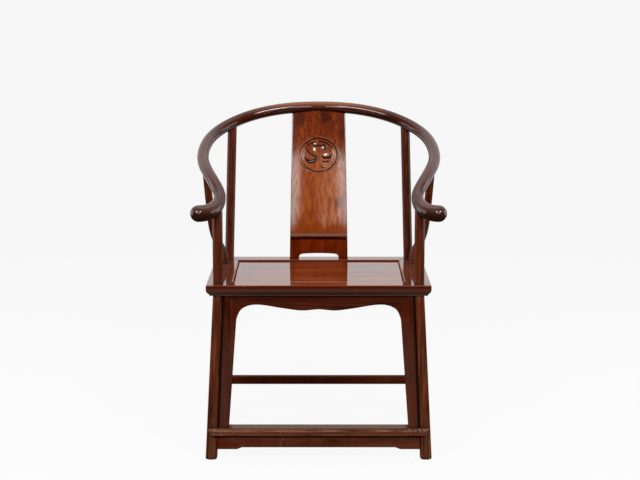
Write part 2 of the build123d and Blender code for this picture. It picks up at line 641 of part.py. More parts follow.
# arched board between the feet, tongued into them and under the ledge
kick_y = SPLAT_BASE_Y + LEDGE_DEEP + KICK_SET_BACK
kick_plane = Plane(origin=(0, kick_y + KICK_THICK, 0), x_dir=(1, 0, 0), z_dir=(0, -1, 0))
with BuildSketch(kick_plane) as kick_outline:
    with BuildLine():
        Polyline(
            (-foot_inner + KICK_FOOT, SEAT_HEIGHT),
            (-foot_inner, SEAT_HEIGHT),
            (-foot_inner, kick_top),
            (foot_inner, kick_top),
            (foot_inner, SEAT_HEIGHT),
            (foot_inner - KICK_FOOT, SEAT_HEIGHT),
        )
        Spline(
            (foot_inner - KICK_FOOT, SEAT_HEIGHT),
            (foot_inner - KICK_UP * 0.5, KICK_BOTTOM - KICK_UP * 0.44),
            (foot_inner - KICK_UP * 1.38, KICK_BOTTOM - KICK_UP * 0.125),
            (0, KICK_BOTTOM),
            (-foot_inner + KICK_UP * 1.38, KICK_BOTTOM - KICK_UP * 0.125),
            (-foot_inner + KICK_UP * 0.5, KICK_BOTTOM - KICK_UP * 0.44),
            (-foot_inner + KICK_FOOT, SEAT_HEIGHT),
        )
    make_face()
kick = extrude(kick_outline.sketch, amount=KICK_THICK)
tongue_y0 = kick_y + (KICK_THICK - KICK_TONGUE_THICK) / 2
for side in (-1, 1):
    ends = sorted((side * (foot_inner - KICK_FOOT), side * (foot_inner + KICK_TONGUE)))
    tongue = block(*ends, tongue_y0, tongue_y0 + KICK_TONGUE_THICK, KICK_BOTTOM, kick_top - KICK_TONGUE)
    kick += tongue
    splat -= tongue


# ---------------------------------------------------------------- aprons and strips
def opening(half, bottom, splay):
    """Arched opening: a lobed head, round shoulders and uprights that lean out."""
    foot = half + (CURVE_END_Z - bottom) * splay
    fall = PEAK_Z - CURVE_END_Z
    rise = PEAK_Z - CUSP_Z
    head = Spline(
        (0, CUSP_Z),
        (half * 0.185, CUSP_Z - LOBE_DROP),
        (half * 0.36, CUSP_Z + rise * 0.05),
        (half * 0.5, CUSP_Z + rise * 0.43),
        (half - SHOULDER_WIDE, PEAK_Z),
        (half - SHOULDER_WIDE * 0.67, PEAK_Z - fall * 0.016),
        (half - SHOULDER_WIDE * 0.477, PEAK_Z - fall * 0.079),
        (half - SHOULDER_WIDE * 0.25, PEAK_Z - fall * 0.236),
        (half - SHOULDER_WIDE * 0.13, PEAK_Z - fall * 0.432),
        (half - SHOULDER_WIDE * 0.041, PEAK_Z - fall * 0.713),
        (half, CURVE_END_Z),
        tangents=[(1, -0.02), (splay, -1)],
    )
    edge = Polyline((half, CURVE_END_Z), (foot, bottom), (0, bottom), (0, CUSP_Z))
    right = make_face([head, edge])
    return right + mirror(right, about=Plane.YZ)


def apron_set(plane, half, outer, bottom, splay):
    """Apron and its two strips on a leaning plane; local x runs across, local y is height."""
    top = SEAT_BOTTOM + OVER
    blank_face = Pos(0, (top + bottom) / 2) * Rectangle(2 * outer, top - bottom)
    sheet = blank_face - opening(half, bottom - OVER, splay)
    # mitres run from the middle of each shoulder curve up and out at MITRE_RISE
    turn_x = half - SHOULDER_WIDE * 0.266
    turn_z = PEAK_Z - (PEAK_Z - CURVE_END_Z) * 0.222
    corner_x = turn_x + (top - turn_z) / MITRE_RISE
    middle_zone = make_face(Polyline(
        (-corner_x, top),
        (-turn_x, turn_z),
        (-turn_x, bottom - OVER),
        (turn_x, bottom - OVER),
        (turn_x, turn_z),
        (corner_x, top),
        close=True,
    ))
    apron = extrude(plane * (sheet & middle_zone), amount=-APRON_THICK)
    strips = extrude(plane * (sheet - middle_zone), amount=-APRON_THICK)
    return apron, strips


above_seat = block(-FAR, FAR, -FAR, FAR, SEAT_BOTTOM, SEAT_HEIGHT)
front_lean = (FRONT_SPLAY_FORWARD + (LEG_FOOT - LEG_TOP) / 2) / SEAT_BOTTOM
front_face_y = FRONT_LEG_Y - LEG_TOP / 2 + APRON_SET_BACK
front_z = Vector(0, -1, front_lean).normalized()
front_up = Vector(0, front_lean, 1).normalized()
front_origin = Vector(0, front_face_y, SEAT_BOTTOM) - front_up * SEAT_BOTTOM
front_plane = Plane(origin=tuple(front_origin), x_dir=(1, 0, 0), z_dir=tuple(front_z))
front_apron, front_strips = apron_set(front_plane, OPEN_HALF, FRONT_FOOT_X, FOOTREST_TOP - OVER, OPEN_SPLAY)
both_front_legs = front_leg_raw + mirrored(front_leg_raw)
below_footrest = block(-FAR, FAR, -FAR, FAR, 0, FOOTREST_TOP)
front_apron = front_apron - above_seat - both_front_legs
front_strips = front_strips - above_seat - both_front_legs - below_footrest
front_right_strip = front_strips.solids().filter_by(lambda s: s.center().X > 0).sort_by(SortBy.VOLUME)[-1]

tongue_y = front_face_y + APRON_THICK / 2
front_tongue = block(-APRON_TONGUE_HALF, APRON_TONGUE_HALF,
                     tongue_y - APRON_TONGUE_THICK / 2, tongue_y + APRON_TONGUE_THICK / 2,
                     SEAT_BOTTOM - OVER, SEAT_BOTTOM + APRON_TONGUE)
front_apron = one(front_apron) + front_tongue
seat_front -= front_tongue

# the sides lie in the plane of the legs' outer faces, set back like the front
side_a = Vector(FRONT_LEG_X + LEG_TOP / 2, FRONT_LEG_Y, SEAT_BOTTOM)
side_b = Vector(REAR_LEG_X + LEG_TOP / 2, REAR_LEG_Y, SEAT_BOTTOM)
side_c = Vector(FRONT_FOOT_X + LEG_FOOT / 2, FRONT_FOOT_Y, 0)
side_run = (side_b - side_a).normalized()
side_z = side_run.cross(side_a - side_c).normalized()
side_up = side_z.cross(side_run)
side_origin = (side_a + side_b) / 2 - side_z * APRON_SET_BACK - side_up * (SEAT_BOTTOM / side_up.Z)
side_plane = Plane(origin=tuple(side_origin), x_dir=tuple(side_run), z_dir=tuple(side_z))
right_legs = front_leg_raw + rear_leg_raw
side_half = (side_b - side_a).length / 2
side_apron, side_strips = apron_set(side_plane, side_half - SIDE_OPEN_IN, side_half + FOOTREST_OUT,
                                    SIDE_STRETCHER_TOP - OVER, SIDE_OPEN_SPLAY)
below_side = block(-FAR, FAR, -FAR, FAR, 0, SIDE_STRETCHER_TOP)
side_apron = one(side_apron - above_seat - right_legs)
side_strips = side_strips - above_seat - right_legs - below_side
strip_solids = side_strips.solids().sort_by(SortBy.VOLUME)[-2:]
side_front_strip, side_rear_strip = ShapeList(strip_solids).sort_by(Axis.Y)

rear_face_y = REAR_LEG_Y + LEG_TOP / 2 - APRON_SET_BACK
rear_apron = block(-REAR_LEG_X, REAR_LEG_X, rear_face_y - APRON_THICK, rear_face_y,
                   SEAT_BOTTOM - REAR_APRON_HIGH, SEAT_BOTTOM)
rear_apron = rear_apron - rear_leg_raw - mirrored(rear_leg_raw)
rear_apron = rear_apron.solids().sort_by(SortBy.VOLUME)[-1]


# ---------------------------------------------------------------- low frame
def rounded_bar(width, high, length, radius):
    """Bar along X with rounded long edges."""
    yz = Plane(origin=(0, 0, 0), x_dir=(0, 1, 0), z_dir=(1, 0, 0))
    return extrude(yz * RectangleRounded(width, high, radius), amount=length / 2, both=True)


rest_z = FOOTREST_TOP - FOOTREST_THICK / 2
rest_low = FOOTREST_TOP - FOOTREST_THICK
rest_leg_x = leg_centre(FRONT_FOOT_X, FRONT_LEG_X, rest_z)
rest_leg_y = leg_centre(FRONT_FOOT_Y, FRONT_LEG_Y, rest_z)
rest_leg_half = leg_centre(LEG_FOOT, LEG_TOP, rest_z) / 2
rest_half = FRONT_FOOT_X + FOOTREST_OUT
rest_front = rest_leg_y - rest_leg_half - FOOTREST_LIP
rest_mid_y = rest_front + FOOTREST_WIDE / 2
footrest = rounded_bar(FOOTREST_WIDE, FOOTREST_THICK, 2 * rest_half, FOOTREST_ROUND)
footrest = Pos(0, rest_mid_y, rest_z) * footrest
# behind the legs' middle the board ends at their inner faces; in front a lip runs on and ends at a slant
board_end = rest_leg_x - rest_leg_half - FOOTREST_LEG_GAP
z0 = rest_low - OVER
z1 = FOOTREST_TOP + OVER
for side in (-1, 1):
    ends = sorted((side * board_end, side * FAR))
    footrest -= block(*ends, rest_leg_y - LEG_EDGE_ROUND, FAR, z0, z1)
    footrest -= prism([
        (side * rest_half, rest_front - OVER),
        (side * rest_half, rest_front),
        (side * (rest_half - FOOTREST_SLANT), rest_leg_y),
        (side * FAR, rest_leg_y),
        (side * FAR, rest_front - OVER),
    ], z0, z1)
footrest = footrest - both_front_legs
footrest = footrest.solids().sort_by(SortBy.VOLUME)[-1]

apron_y = leg_centre(FRONT_FOOT_Y, FRONT_LEG_Y, rest_low) - rest_leg_half + APRON_SET_BACK
bracket = FRONT_FOOT_X - BRACKET_LONG
footrest_apron_face = make_face(Polyline(
    (-FRONT_FOOT_X, rest_low),
    (-FRONT_FOOT_X, FOOTREST_APRON_LOW),
    (-bracket - BRACKET_SLOPE, FOOTREST_APRON_LOW),
    (-bracket, FOOTREST_APRON_LOW + FOOTREST_APRON_RISE),
    (bracket, FOOTREST_APRON_LOW + FOOTREST_APRON_RISE),
    (bracket + BRACKET_SLOPE, FOOTREST_APRON_LOW),
    (FRONT_FOOT_X, FOOTREST_APRON_LOW),
    (FRONT_FOOT_X, rest_low),
    close=True,
))
apron_plane = Plane(origin=(0, apron_y + APRON_THICK, 0), x_dir=(1, 0, 0), z_dir=(0, -1, 0))
footrest_apron = extrude(apron_plane * footrest_apron_face, amount=APRON_THICK)
footrest_apron = footrest_apron - both_front_legs
footrest_apron = footrest_apron.solids().sort_by(SortBy.VOLUME)[-1]
rest_tongue_y = apron_y + (APRON_THICK - APRON_TONGUE_THICK) / 2
rest_tongue = block(-REST_TONGUE_HALF, REST_TONGUE_HALF, rest_tongue_y, rest_tongue_y + APRON_TONGUE_THICK,
                    rest_low - OVER, rest_low + REST_TONGUE_DEEP)
footrest_apron = footrest_apron + rest_tongue
footrest = footrest - rest_tongue

stretcher_z = SIDE_STRETCHER_TOP - SIDE_STRETCHER_HIGH / 2
sx_front = leg_centre(FRONT_FOOT_X, FRONT_LEG_X, stretcher_z)
sy_front = leg_centre(FRONT_FOOT_Y, FRONT_LEG_Y, stretcher_z)
sx_rear = leg_centre(REAR_FOOT_X, REAR_LEG_X, stretcher_z)
sy_rear = leg_centre(REAR_FOOT_Y, REAR_LEG_Y, stretcher_z)


def bar_between(start, end, wide, high, radius):
    """Bar from one leg's centre to another's."""
    line = Vector(*end) - Vector(*start)
    plane = Plane(origin=start, x_dir=(-line.Y, line.X, 0), z_dir=line)
    shape = RectangleRounded(wide, high, radius) if radius else Rectangle(wide, high)
    return extrude(plane * shape, amount=line.length)


def stretcher(start, end, high, legs):
    """Stretcher shouldered against its legs, and the bar of its two tenons."""
    body = bar_between(start, end, STRETCHER_THICK, high, STRETCHER_ROUND)
    body = body - legs
    body = body.solids().sort_by(SortBy.VOLUME)[-1]
    tenon = bar_between(start, end, TENON_THICK, TENON_HIGH, 0)
    return body, tenon


right_stretcher, side_tenon = stretcher((sx_front, sy_front, stretcher_z), (sx_rear, sy_rear, stretcher_z),
                                        SIDE_STRETCHER_HIGH, right_legs)
right_stretcher = right_stretcher + side_tenon

rear_stretcher_z = REAR_STRETCHER_TOP - REAR_STRETCHER_HIGH / 2
rx = leg_centre(REAR_FOOT_X, REAR_LEG_X, rear_stretcher_z)
ry = leg_centre(REAR_FOOT_Y, REAR_LEG_Y, rear_stretcher_z)
both_rear_legs = rear_leg_raw + mirrored(rear_leg_raw)
rear_stretcher, rear_tenon_bar = stretcher((-rx, ry, rear_stretcher_z), (rx, ry, rear_stretcher_z),
                                           REAR_STRETCHER_HIGH, both_rear_legs)
# these tenons stop short of the side stretchers' tenons in the same legs
clear_x = rx - REAR_TENON_SHORT
rear_tenon_bar = rear_tenon_bar & block(-clear_x, clear_x, 0, FAR, 0, REAR_STRETCHER_TOP)
rear_stretcher = rear_stretcher + rear_tenon_bar

# ---------------------------------------------------------------- finish the legs
front_leg = front_leg_raw + front_post + front_tenon
front_leg = front_leg - side_tenon
rear_leg = rear_leg_raw + rear_post + rear_tenon
rear_leg = rear_leg - side_tenon - rear_tenon_bar

arm = arm - front_tenon_hole
shoulder = shoulder - rear_tenon_hole - side_crest_hole

# ---------------------------------------------------------------- every piece
pieces = {
    "crest_rail_centre": centre_piece,
    "crest_rail_right_shoulder": shoulder,
    "crest_rail_left_shoulder": mirrored(shoulder),
    "crest_rail_right_arm": arm,
    "crest_rail_left_arm": mirrored(arm),
    "scarf_key_right_inner": inner_key,
    "scarf_key_left_inner": mirrored(inner_key),
    "scarf_key_right_outer": outer_key,
    "scarf_key_left_outer": mirrored(outer_key),
    "back_splat": splat,
    "splat_foot_apron": kick,
    "right_front_leg": front_leg,
    "left_front_leg": mirrored(front_leg),
    "right_rear_leg": rear_leg,
    "left_rear_leg": mirrored(rear_leg),
    "right_side_post": side_post,
    "left_side_post": mirrored(side_post),
    "seat_front_rail": seat_front,
    "seat_rear_rail": seat_rear,
    "seat_right_rail": seat_right,
    "seat_left_rail": mirrored(seat_right),
    "seat_panel": panel,
    "right_panel_batten": right_batten,
    "left_panel_batten": mirrored(right_batten),
    "front_apron": front_apron,
    "front_apron_right_strip": front_right_strip,
    "front_apron_left_strip": mirrored(front_right_strip),
    "right_side_apron": side_apron,
    "left_side_apron": mirrored(side_apron),
    "right_side_apron_front_strip": side_front_strip,
    "left_side_apron_front_strip": mirrored(side_front_strip),
    "right_side_apron_rear_strip": side_rear_strip,
    "left_side_apron_rear_strip": mirrored(side_rear_strip),
    "rear_apron": rear_apron,
    "footrest": footrest,
    "footrest_apron": footrest_apron,
    "right_stretcher": right_stretcher,
    "left_stretcher": mirrored(right_stretcher),
    "rear_stretcher": rear_stretcher,
}

os.makedirs("parts", exist_ok=True)
for name, shape in pieces.items():
    solid = one(shape)
    placed = Pos(0, SHIFT_Y, 0) * solid
    export_step(placed, os.path.join("parts", name + ".step"))
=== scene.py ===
"""Horseshoe back armchair: woods, carving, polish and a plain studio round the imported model."""

import math
from functools import cached_property

import bpy
import numpy as np
from bpy.props import FloatProperty, FloatVectorProperty, IntProperty, PointerProperty
from bpy.types import Operator, Panel, PropertyGroup
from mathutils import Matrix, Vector


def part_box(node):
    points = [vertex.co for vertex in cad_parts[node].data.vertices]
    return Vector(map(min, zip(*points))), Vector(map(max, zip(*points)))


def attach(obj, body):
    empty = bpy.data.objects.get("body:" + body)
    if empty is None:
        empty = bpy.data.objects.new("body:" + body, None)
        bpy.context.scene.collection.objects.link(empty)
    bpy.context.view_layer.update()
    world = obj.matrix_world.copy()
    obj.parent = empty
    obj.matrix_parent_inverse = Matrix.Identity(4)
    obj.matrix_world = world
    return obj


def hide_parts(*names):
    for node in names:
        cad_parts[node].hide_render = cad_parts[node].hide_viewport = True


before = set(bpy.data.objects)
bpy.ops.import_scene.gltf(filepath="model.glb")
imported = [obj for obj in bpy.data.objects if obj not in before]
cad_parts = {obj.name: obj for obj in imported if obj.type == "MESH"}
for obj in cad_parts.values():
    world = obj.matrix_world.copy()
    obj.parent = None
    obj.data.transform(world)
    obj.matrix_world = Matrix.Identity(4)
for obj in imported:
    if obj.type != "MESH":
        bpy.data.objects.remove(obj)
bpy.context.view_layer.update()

bl_info = {
    "name": "Horseshoe Back Armchair",
    "version": (1, 0, 0),
    "blender": (4, 5, 0),
    "location": "View3D > Sidebar > Armchair",
    "description": "Builds the crest rail, posts, carved splat, aprons and finishes of a horseshoe back armchair",
    "category": "Object",
}

MM = 0.001
SEAM = 0.0004
SEAT_LOW, SEAT_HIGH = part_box("seat_front_rail")
SEAT_TOP = SEAT_HIGH.z
SEAT_UNDER = SEAT_LOW.z
SEAT_FRONT = SEAT_LOW.y
SEAT_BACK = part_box("seat_rear_rail")[1].y
SEAT_SIDE = SEAT_HIGH.x

# Centreline of the crest rail, in millimetres: how far its middle lies behind and above the seat, then guides
# along its right half as (out from the seat's side, behind its rear or front edge, above it).
CREST_BACK = 76.0
CREST_UP = 447.5
RAIL_REAR_GUIDES = (
    (-196.5, 61.0, 442.0),
    (-81.5, 19.5, 417.0),
    (-13.5, -45.0, 386.0),
    (17.5, -134.0, 354.5),
)
RAIL_ARM_GUIDES = (
    (20.5, 245.0, 318.5),
    (1.5, 172.5, 291.5),
    (-22.0, 112.0, 265.0),
    (-37.0, 66.5, 238.5),
    (-31.5, 28.0, 217.5),
    (15.5, -22.0, 203.0),
)
# Centreline of the right side post above its foot: out, back and up, in millimetres.
SIDE_FOOT = (-31.0, -120.0)
SIDE_GUIDES = (
    (2.5, -0.5, 30.0),
    (19.5, -5.0, 67.0),
    (32.5, -13.0, 111.0),
    (38.5, -24.5, 165.0),
    (45.0, -39.5, 245.0),
)
SIDE_FORWARD = 49.0
SIDE_END_LEAN = (0.08, -0.1, 1.0)
# Steps along the crest rail: its rings' distance in metres, rings in a lap and in a grip's dome.
RAIL_STEP = 0.004
LAP_RINGS = 16
DOME_RINGS = 12

# Back splat, in millimetres: its place before the seat's rear edge, thickness, widths at the seat and the rail,
# roundings, the ledge over its feet, and the roundel with its bead, groove and rim. Heights are above the seat.
SPLAT_IN = 41.0
SPLAT_THICK = 15.0
SPLAT_BOTTOM_W = 174.0
SPLAT_TOP_W = 160.0
SPLAT_ROUND = 1.5
SPLAT_FOOT_ROUND = 1.2
OPENING_ROUND = 0.7
LEDGE_UP = 63.5
LEDGE_ROUND = 1.0
LEDGE_DEEP = 4.0
LEDGE_BEAD = 4.2
LEDGE_HALF = 6.2
FOOT_INNER = 60.0
FOOT_TOP_UP = 66.5
ROUNDEL_UP = 307.0
RING_HALF = (61.0, 52.0)
RING_RADIUS = 56.0
DISC_HALF = (53.5, 47.0)
DISC_RADIUS = 50.0
BEAD_HIGH = 1.2
BEAD_HALF = 1.6
GROOVE_DEEP = 2.4
RIM_HIGH = 2.3
RIM_ROUND = 2.2
# The field inside the rim: where it starts and over how long it falls, how deep it and the trough along its edge
# are, the trough's place and half width, and how high the field swells in its middle.
FIELD_IN = 4.6
FIELD_FALL = 2.4
FIELD_DEEP = 1.1
TROUGH_DEEP = 0.7
TROUGH_IN = 6.6
TROUGH_HALF = 1.3
FIELD_SWELL = 0.7
# Legs, in millimetres: centres at the seat's underside and at the floor (out from the middle, behind the
# seat's front edge or before its rear edge), sides there, radii of the round posts above the seat, corner
# roundings, and how far the foot draws in at heights over the floor.
FRONT_LEG = (277.4, 26.0)
FRONT_FOOT = (300.5, 16.2)
REAR_LEG = (269.5, 36.0)
REAR_FOOT = (292.0, 20.0)
LEG_TOP = 29.2
LEG_FOOT = 32.2
FRONT_POST = 14.1
REAR_POST = 13.5
REAR_POST_IN = 52.0
LEG_ROUND = 14.4
LEG_SIDE_ROUND = 12.5
LEG_INSIDE_ROUND = 3.5
CORNER_POINTS = 9
FOOT_ROUND = ((0.0, 2.6), (0.5, 1.4), (1.4, 0.6), (3.0, 0.0))
# Footrest: its box in metres; then, in millimetres, how deep its lip before the legs is, how far the lip's ends
# slant in and are undercut, half the length of the board behind the lip, and its roundings.
REST_LOW, REST_TOP = (corner.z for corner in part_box("footrest"))
REST_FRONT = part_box("footrest")[0].y
REST_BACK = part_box("footrest")[1].y
REST_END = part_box("footrest")[1].x
REST_LIP = 20.0
REST_SLANT = 6.5
REST_UNDERCUT = 8.0
REST_BEHIND = 285.0
REST_UNDER_ROUND = 2.6
REST_LIP_ROUND = 4.5
REST_BACK_ROUND = 3.0
# Seat, in millimetres: widths of its frame's members, then roundings, seams and the panel in it.
FRONT_MEMBER = 65.0
REAR_MEMBER = 63.0
SIDE_MEMBER = 73.0
EDGE_ROUND = 2.0
# The moulding down a rail's outer face: in from the face, then below the rail's top; and lower down, in from
# the face, then over the rail's underside.
RAIL_FALL = ((-0.15, 9.0), (0.0, 14.0), (0.6, 16.0), (2.2, 19.0), (4.9, 22.5), (7.6, 25.2))
RAIL_BEAD = ((9.3, 3.9), (9.9, 3.3), (9.3, 2.6), (9.2, 1.5), (9.8, 0.5), (11.2, 0.0))
MITRE_EASE = 0.35
# Where the rings beside a mitre stand, as a share of the rail's half length.
BY_MITRE = 0.999
PANEL_DROP = 4.5
PANEL_THICK = 10.0
PANEL_SIDE_GAP = 0.35
PANEL_END_GAP = 0.6
PANEL_RAISE = 0.8
PANEL_ROUND = 1.2
QUIRK_IN = 3.4
# Arched board between the splat's feet, in millimetres.
KICK_THICK = 7.0
KICK_SET_BACK = 3.5
KICK_TOP_UP = 66.5
KICK_ARCH = (
    (60.0, 0.0), (59.2, 3.0), (58.6, 6.5), (57.2, 10.0), (54.0, 12.6), (47.0, 14.2), (34.0, 15.3), (17.0, 15.9),
    (0.0, 16.1),
)
# Stains on the splat in metres: across, up, half width, half height; then how dark.
SPLAT_STAINS = (
    (0.022, 0.918, 0.014, 0.018, 0.6),
    (0.058, 0.664, 0.014, 0.016, 0.5),
    (-0.050, 0.900, 0.014, 0.03, 0.45),
    (0.066, 0.85, 0.010, 0.03, 0.3),
)
# The plant carved in the roundel, in millimetres from its middle: each stroke is its height or depth, then
# (across, up and half width) along it.
LEAVES = (
    (2.2, (-39, 9, 1.0), (-31, 2, 3.0), (-25, -4.5, 3.8), (-18, -8.5, 3.2), (-13, -9, 1.6)),
    (1.9, (12, -15, 1.2), (20, -15, 3.2), (29, -13, 2.8), (36, -9.5, 1.2)),
    (1.2, (13, -22, 1.0), (20, -26, 2.6), (28, -31, 1.8)),
    (2.2, (-6, 32, 1.4), (-4.5, 37, 1.9), (-9, 40, 2.0), (-15, 38.5, 1.4)),
    (1.6, (6, 20, 1.2), (8, 17, 2.2), (12, 14.5, 1.4)),
    (1.1, (25, 14, 1.0), (32, 15, 2.6), (40, 11, 1.2)),
    (1.3, (26, 4.5, 1.2), (30, 1, 2.2), (30, -3, 1.2)),
    (1.0, (-30, 24, 1.0), (-24, 27, 2.2), (-18, 26, 1.0)),
)
HOLLOWS = (
    (6.0, (-41, -5, 1.4), (-37, -12.5, 3.2), (-29, -19, 4.8), (-18.5, -19.5, 5.2), (-9.5, -14, 4.4), (-7, -7, 3.2),
     (-11, -2.5, 2.2), (-18, -2.5, 1.2)),
    (2.8, (-41, 20, 0.8), (-33, 12, 1.7), (-25, 4.6, 1.9), (-17, 0.5, 1.0)),
    (4.5, (9.5, -3, 1.6), (14.5, -8, 2.6), (24, -8, 3.0), (33, -6.5, 3.6), (37.5, -0.5, 2.4)),
    (3.2, (-24, 34, 1.2), (-17.5, 32.5, 2.4), (-11, 27, 3.0), (-7, 24, 1.6)),
    (2.6, (-7, 30, 1.6), (1, 26.5, 2.2), (9, 28.5, 1.8)),
    (3.0, (11, 31, 1.2), (18, 28, 2.2), (19.5, 21, 2.2), (15.5, 15.5, 1.2)),
    (3.0, (2, 40.5, 1.0), (16, 38.5, 2.4), (30, 31.5, 2.4), (40, 20.5, 1.2)),
    (2.6, (-33, 29.5, 1.0), (-25, 34.5, 1.8), (-14, 38.5, 1.0)),
    (2.2, (11, -18, 0.9), (21, -20, 1.7), (33, -18, 1.0)),
    (1.6, (4, -31, 0.8), (12, -37, 1.2), (20, -38, 0.8)),
)
PIERCED = (
    ((-13.2, 19.0, 2.9), (-13.6, 15.5, 3.5), (-12.0, 12.5, 2.2)),
    ((18.2, -0.2, 3.0), (22.8, 1.6, 3.4)),
    ((11.5, 20.0, 2.3), (13.2, 21.3, 2.5)),
    ((-9.8, 32.2, 1.9), (-13.2, 32.6, 2.1)),
    ((-34.0, -16.0, 0.3), (-27.0, -19.5, 0.7), (-19.0, -19.5, 0.7), (-11.0, -14.0, 0.4)),
)


# ---------------------------------------------------------------- settings
class ChairSizes(PropertyGroup):
    """Sizes of the pieces that this add-on shapes."""

    rail_radius: FloatProperty(
        name="Rail radius", description="Radius of the crest rail", default=0.0167, unit="LENGTH"
    )
    grip_radius: FloatProperty(
        name="Grip radius", description="Radius of the hand grips", default=0.023, unit="LENGTH"
    )
    grip_swell: FloatProperty(
        name="Grip swell", description="Length over which the rail swells into a grip", default=0.125, unit="LENGTH"
    )
    scarf_length: FloatProperty(
        name="Scarf length", description="Length of a lapped joint in the rail", default=0.062, unit="LENGTH"
    )
    inner_scarf: FloatProperty(
        name="Inner scarf", description="Distance of the inner joints from the middle", default=0.172, unit="LENGTH"
    )
    outer_scarf: FloatProperty(
        name="Outer scarf", description="Distance of the outer joints from the middle", default=0.588, unit="LENGTH"
    )
    key_side: FloatProperty(
        name="Key side", description="Side of the square joint keys", default=0.008, unit="LENGTH"
    )
    post_foot_radius: FloatProperty(
        name="Side post foot", description="Radius of a side post at the seat", default=0.0126, unit="LENGTH"
    )
    post_top_radius: FloatProperty(
        name="Side post top", description="Radius of a side post under the arm", default=0.0104, unit="LENGTH"
    )
    splat_thick: FloatProperty(
        name="Splat thickness", description="Thickness of the back splat", default=SPLAT_THICK * MM, unit="LENGTH"
    )
    splat_crown: FloatProperty(
        name="Splat crown", description="How far the splat's middle stands before its edges", default=0.0024,
        unit="LENGTH",
    )
    rail_sides: IntProperty(name="Rail sides", description="Faces round the crest rail", default=48, min=12)


class ChairFinish(PropertyGroup):
    """Colours and polish of the woods."""

    frame_dark: FloatVectorProperty(
        name="Frame, dark", description="Dark streaks of the frame's wood", subtype="COLOR",
        default=(0.02, 0.0032, 0.001),
    )
    frame_mid: FloatVectorProperty(
        name="Frame, middle", description="Main colour of the frame's wood", subtype="COLOR",
        default=(0.1, 0.016, 0.0048),
    )
    frame_light: FloatVectorProperty(
        name="Frame, light", description="Light streaks of the frame's wood", subtype="COLOR",
        default=(0.19, 0.045, 0.015),
    )
    splat_dark: FloatVectorProperty(
        name="Splat, dark", description="Dark streaks of the splat", subtype="COLOR",
        default=(0.06, 0.0065, 0.0015),
    )
    splat_mid: FloatVectorProperty(
        name="Splat, middle", description="Main colour of the splat", subtype="COLOR",
        default=(0.2, 0.028, 0.0042),
    )
    splat_light: FloatVectorProperty(
        name="Splat, light", description="Light streaks of the splat", subtype="COLOR",
        default=(0.4, 0.1, 0.014),
    )
    panel_mid: FloatVectorProperty(
        name="Seat, middle", description="Main colour of the seat's wood", subtype="COLOR",
        default=(0.2, 0.036, 0.0095),
    )
    panel_light: FloatVectorProperty(
        name="Seat, light", description="Light streaks of the seat's wood", subtype="COLOR",
        default=(0.33, 0.09, 0.024),
    )
    polish: FloatProperty(
        name="Polish", description="Weight of the wax and lacquer on the wood", subtype="FACTOR",
        default=1.0, min=0, max=1,
    )
    polish_roughness: FloatProperty(
        name="Polish roughness", description="Roughness of the polish", subtype="FACTOR",
        default=0.1, min=0, max=1,
    )


class ChairStudio(PropertyGroup):
    """Camera and light of the studio."""

    lens: FloatProperty(name="Lens", description="Focal length on a 36 mm sensor", default=90.96, unit="CAMERA")
    camera_place: FloatVectorProperty(
        name="Camera place", description="Where the camera stands", subtype="TRANSLATION", unit="LENGTH",
        default=(0.0038, -4.6186, 1.3273),
    )
    camera_pitch: FloatProperty(
        name="Camera pitch", description="How far the camera looks down", default=math.radians(9.19), unit="ROTATION"
    )
    paper: FloatProperty(name="Paper", description="Brightness of the background paper", default=0.955)
    eye_lamp: FloatProperty(
        name="Eye lamp", description="Power of the small lamp under the camera", default=1.6, unit="POWER"
    )
    splat_lamp: FloatProperty(
        name="Splat lamps", description="Power of each lamp that the splat mirrors", default=29.0, unit="POWER"
    )
    front_lamp: FloatProperty(name="Front lamps", description="Power of each front lamp", default=80.0, unit="POWER")
    side_lamp: FloatProperty(name="Side lamps", description="Power of each side lamp", default=28.0, unit="POWER")
    top_lamp: FloatProperty(name="Top lamp", description="Power of the lamp overhead", default=10.0, unit="POWER")


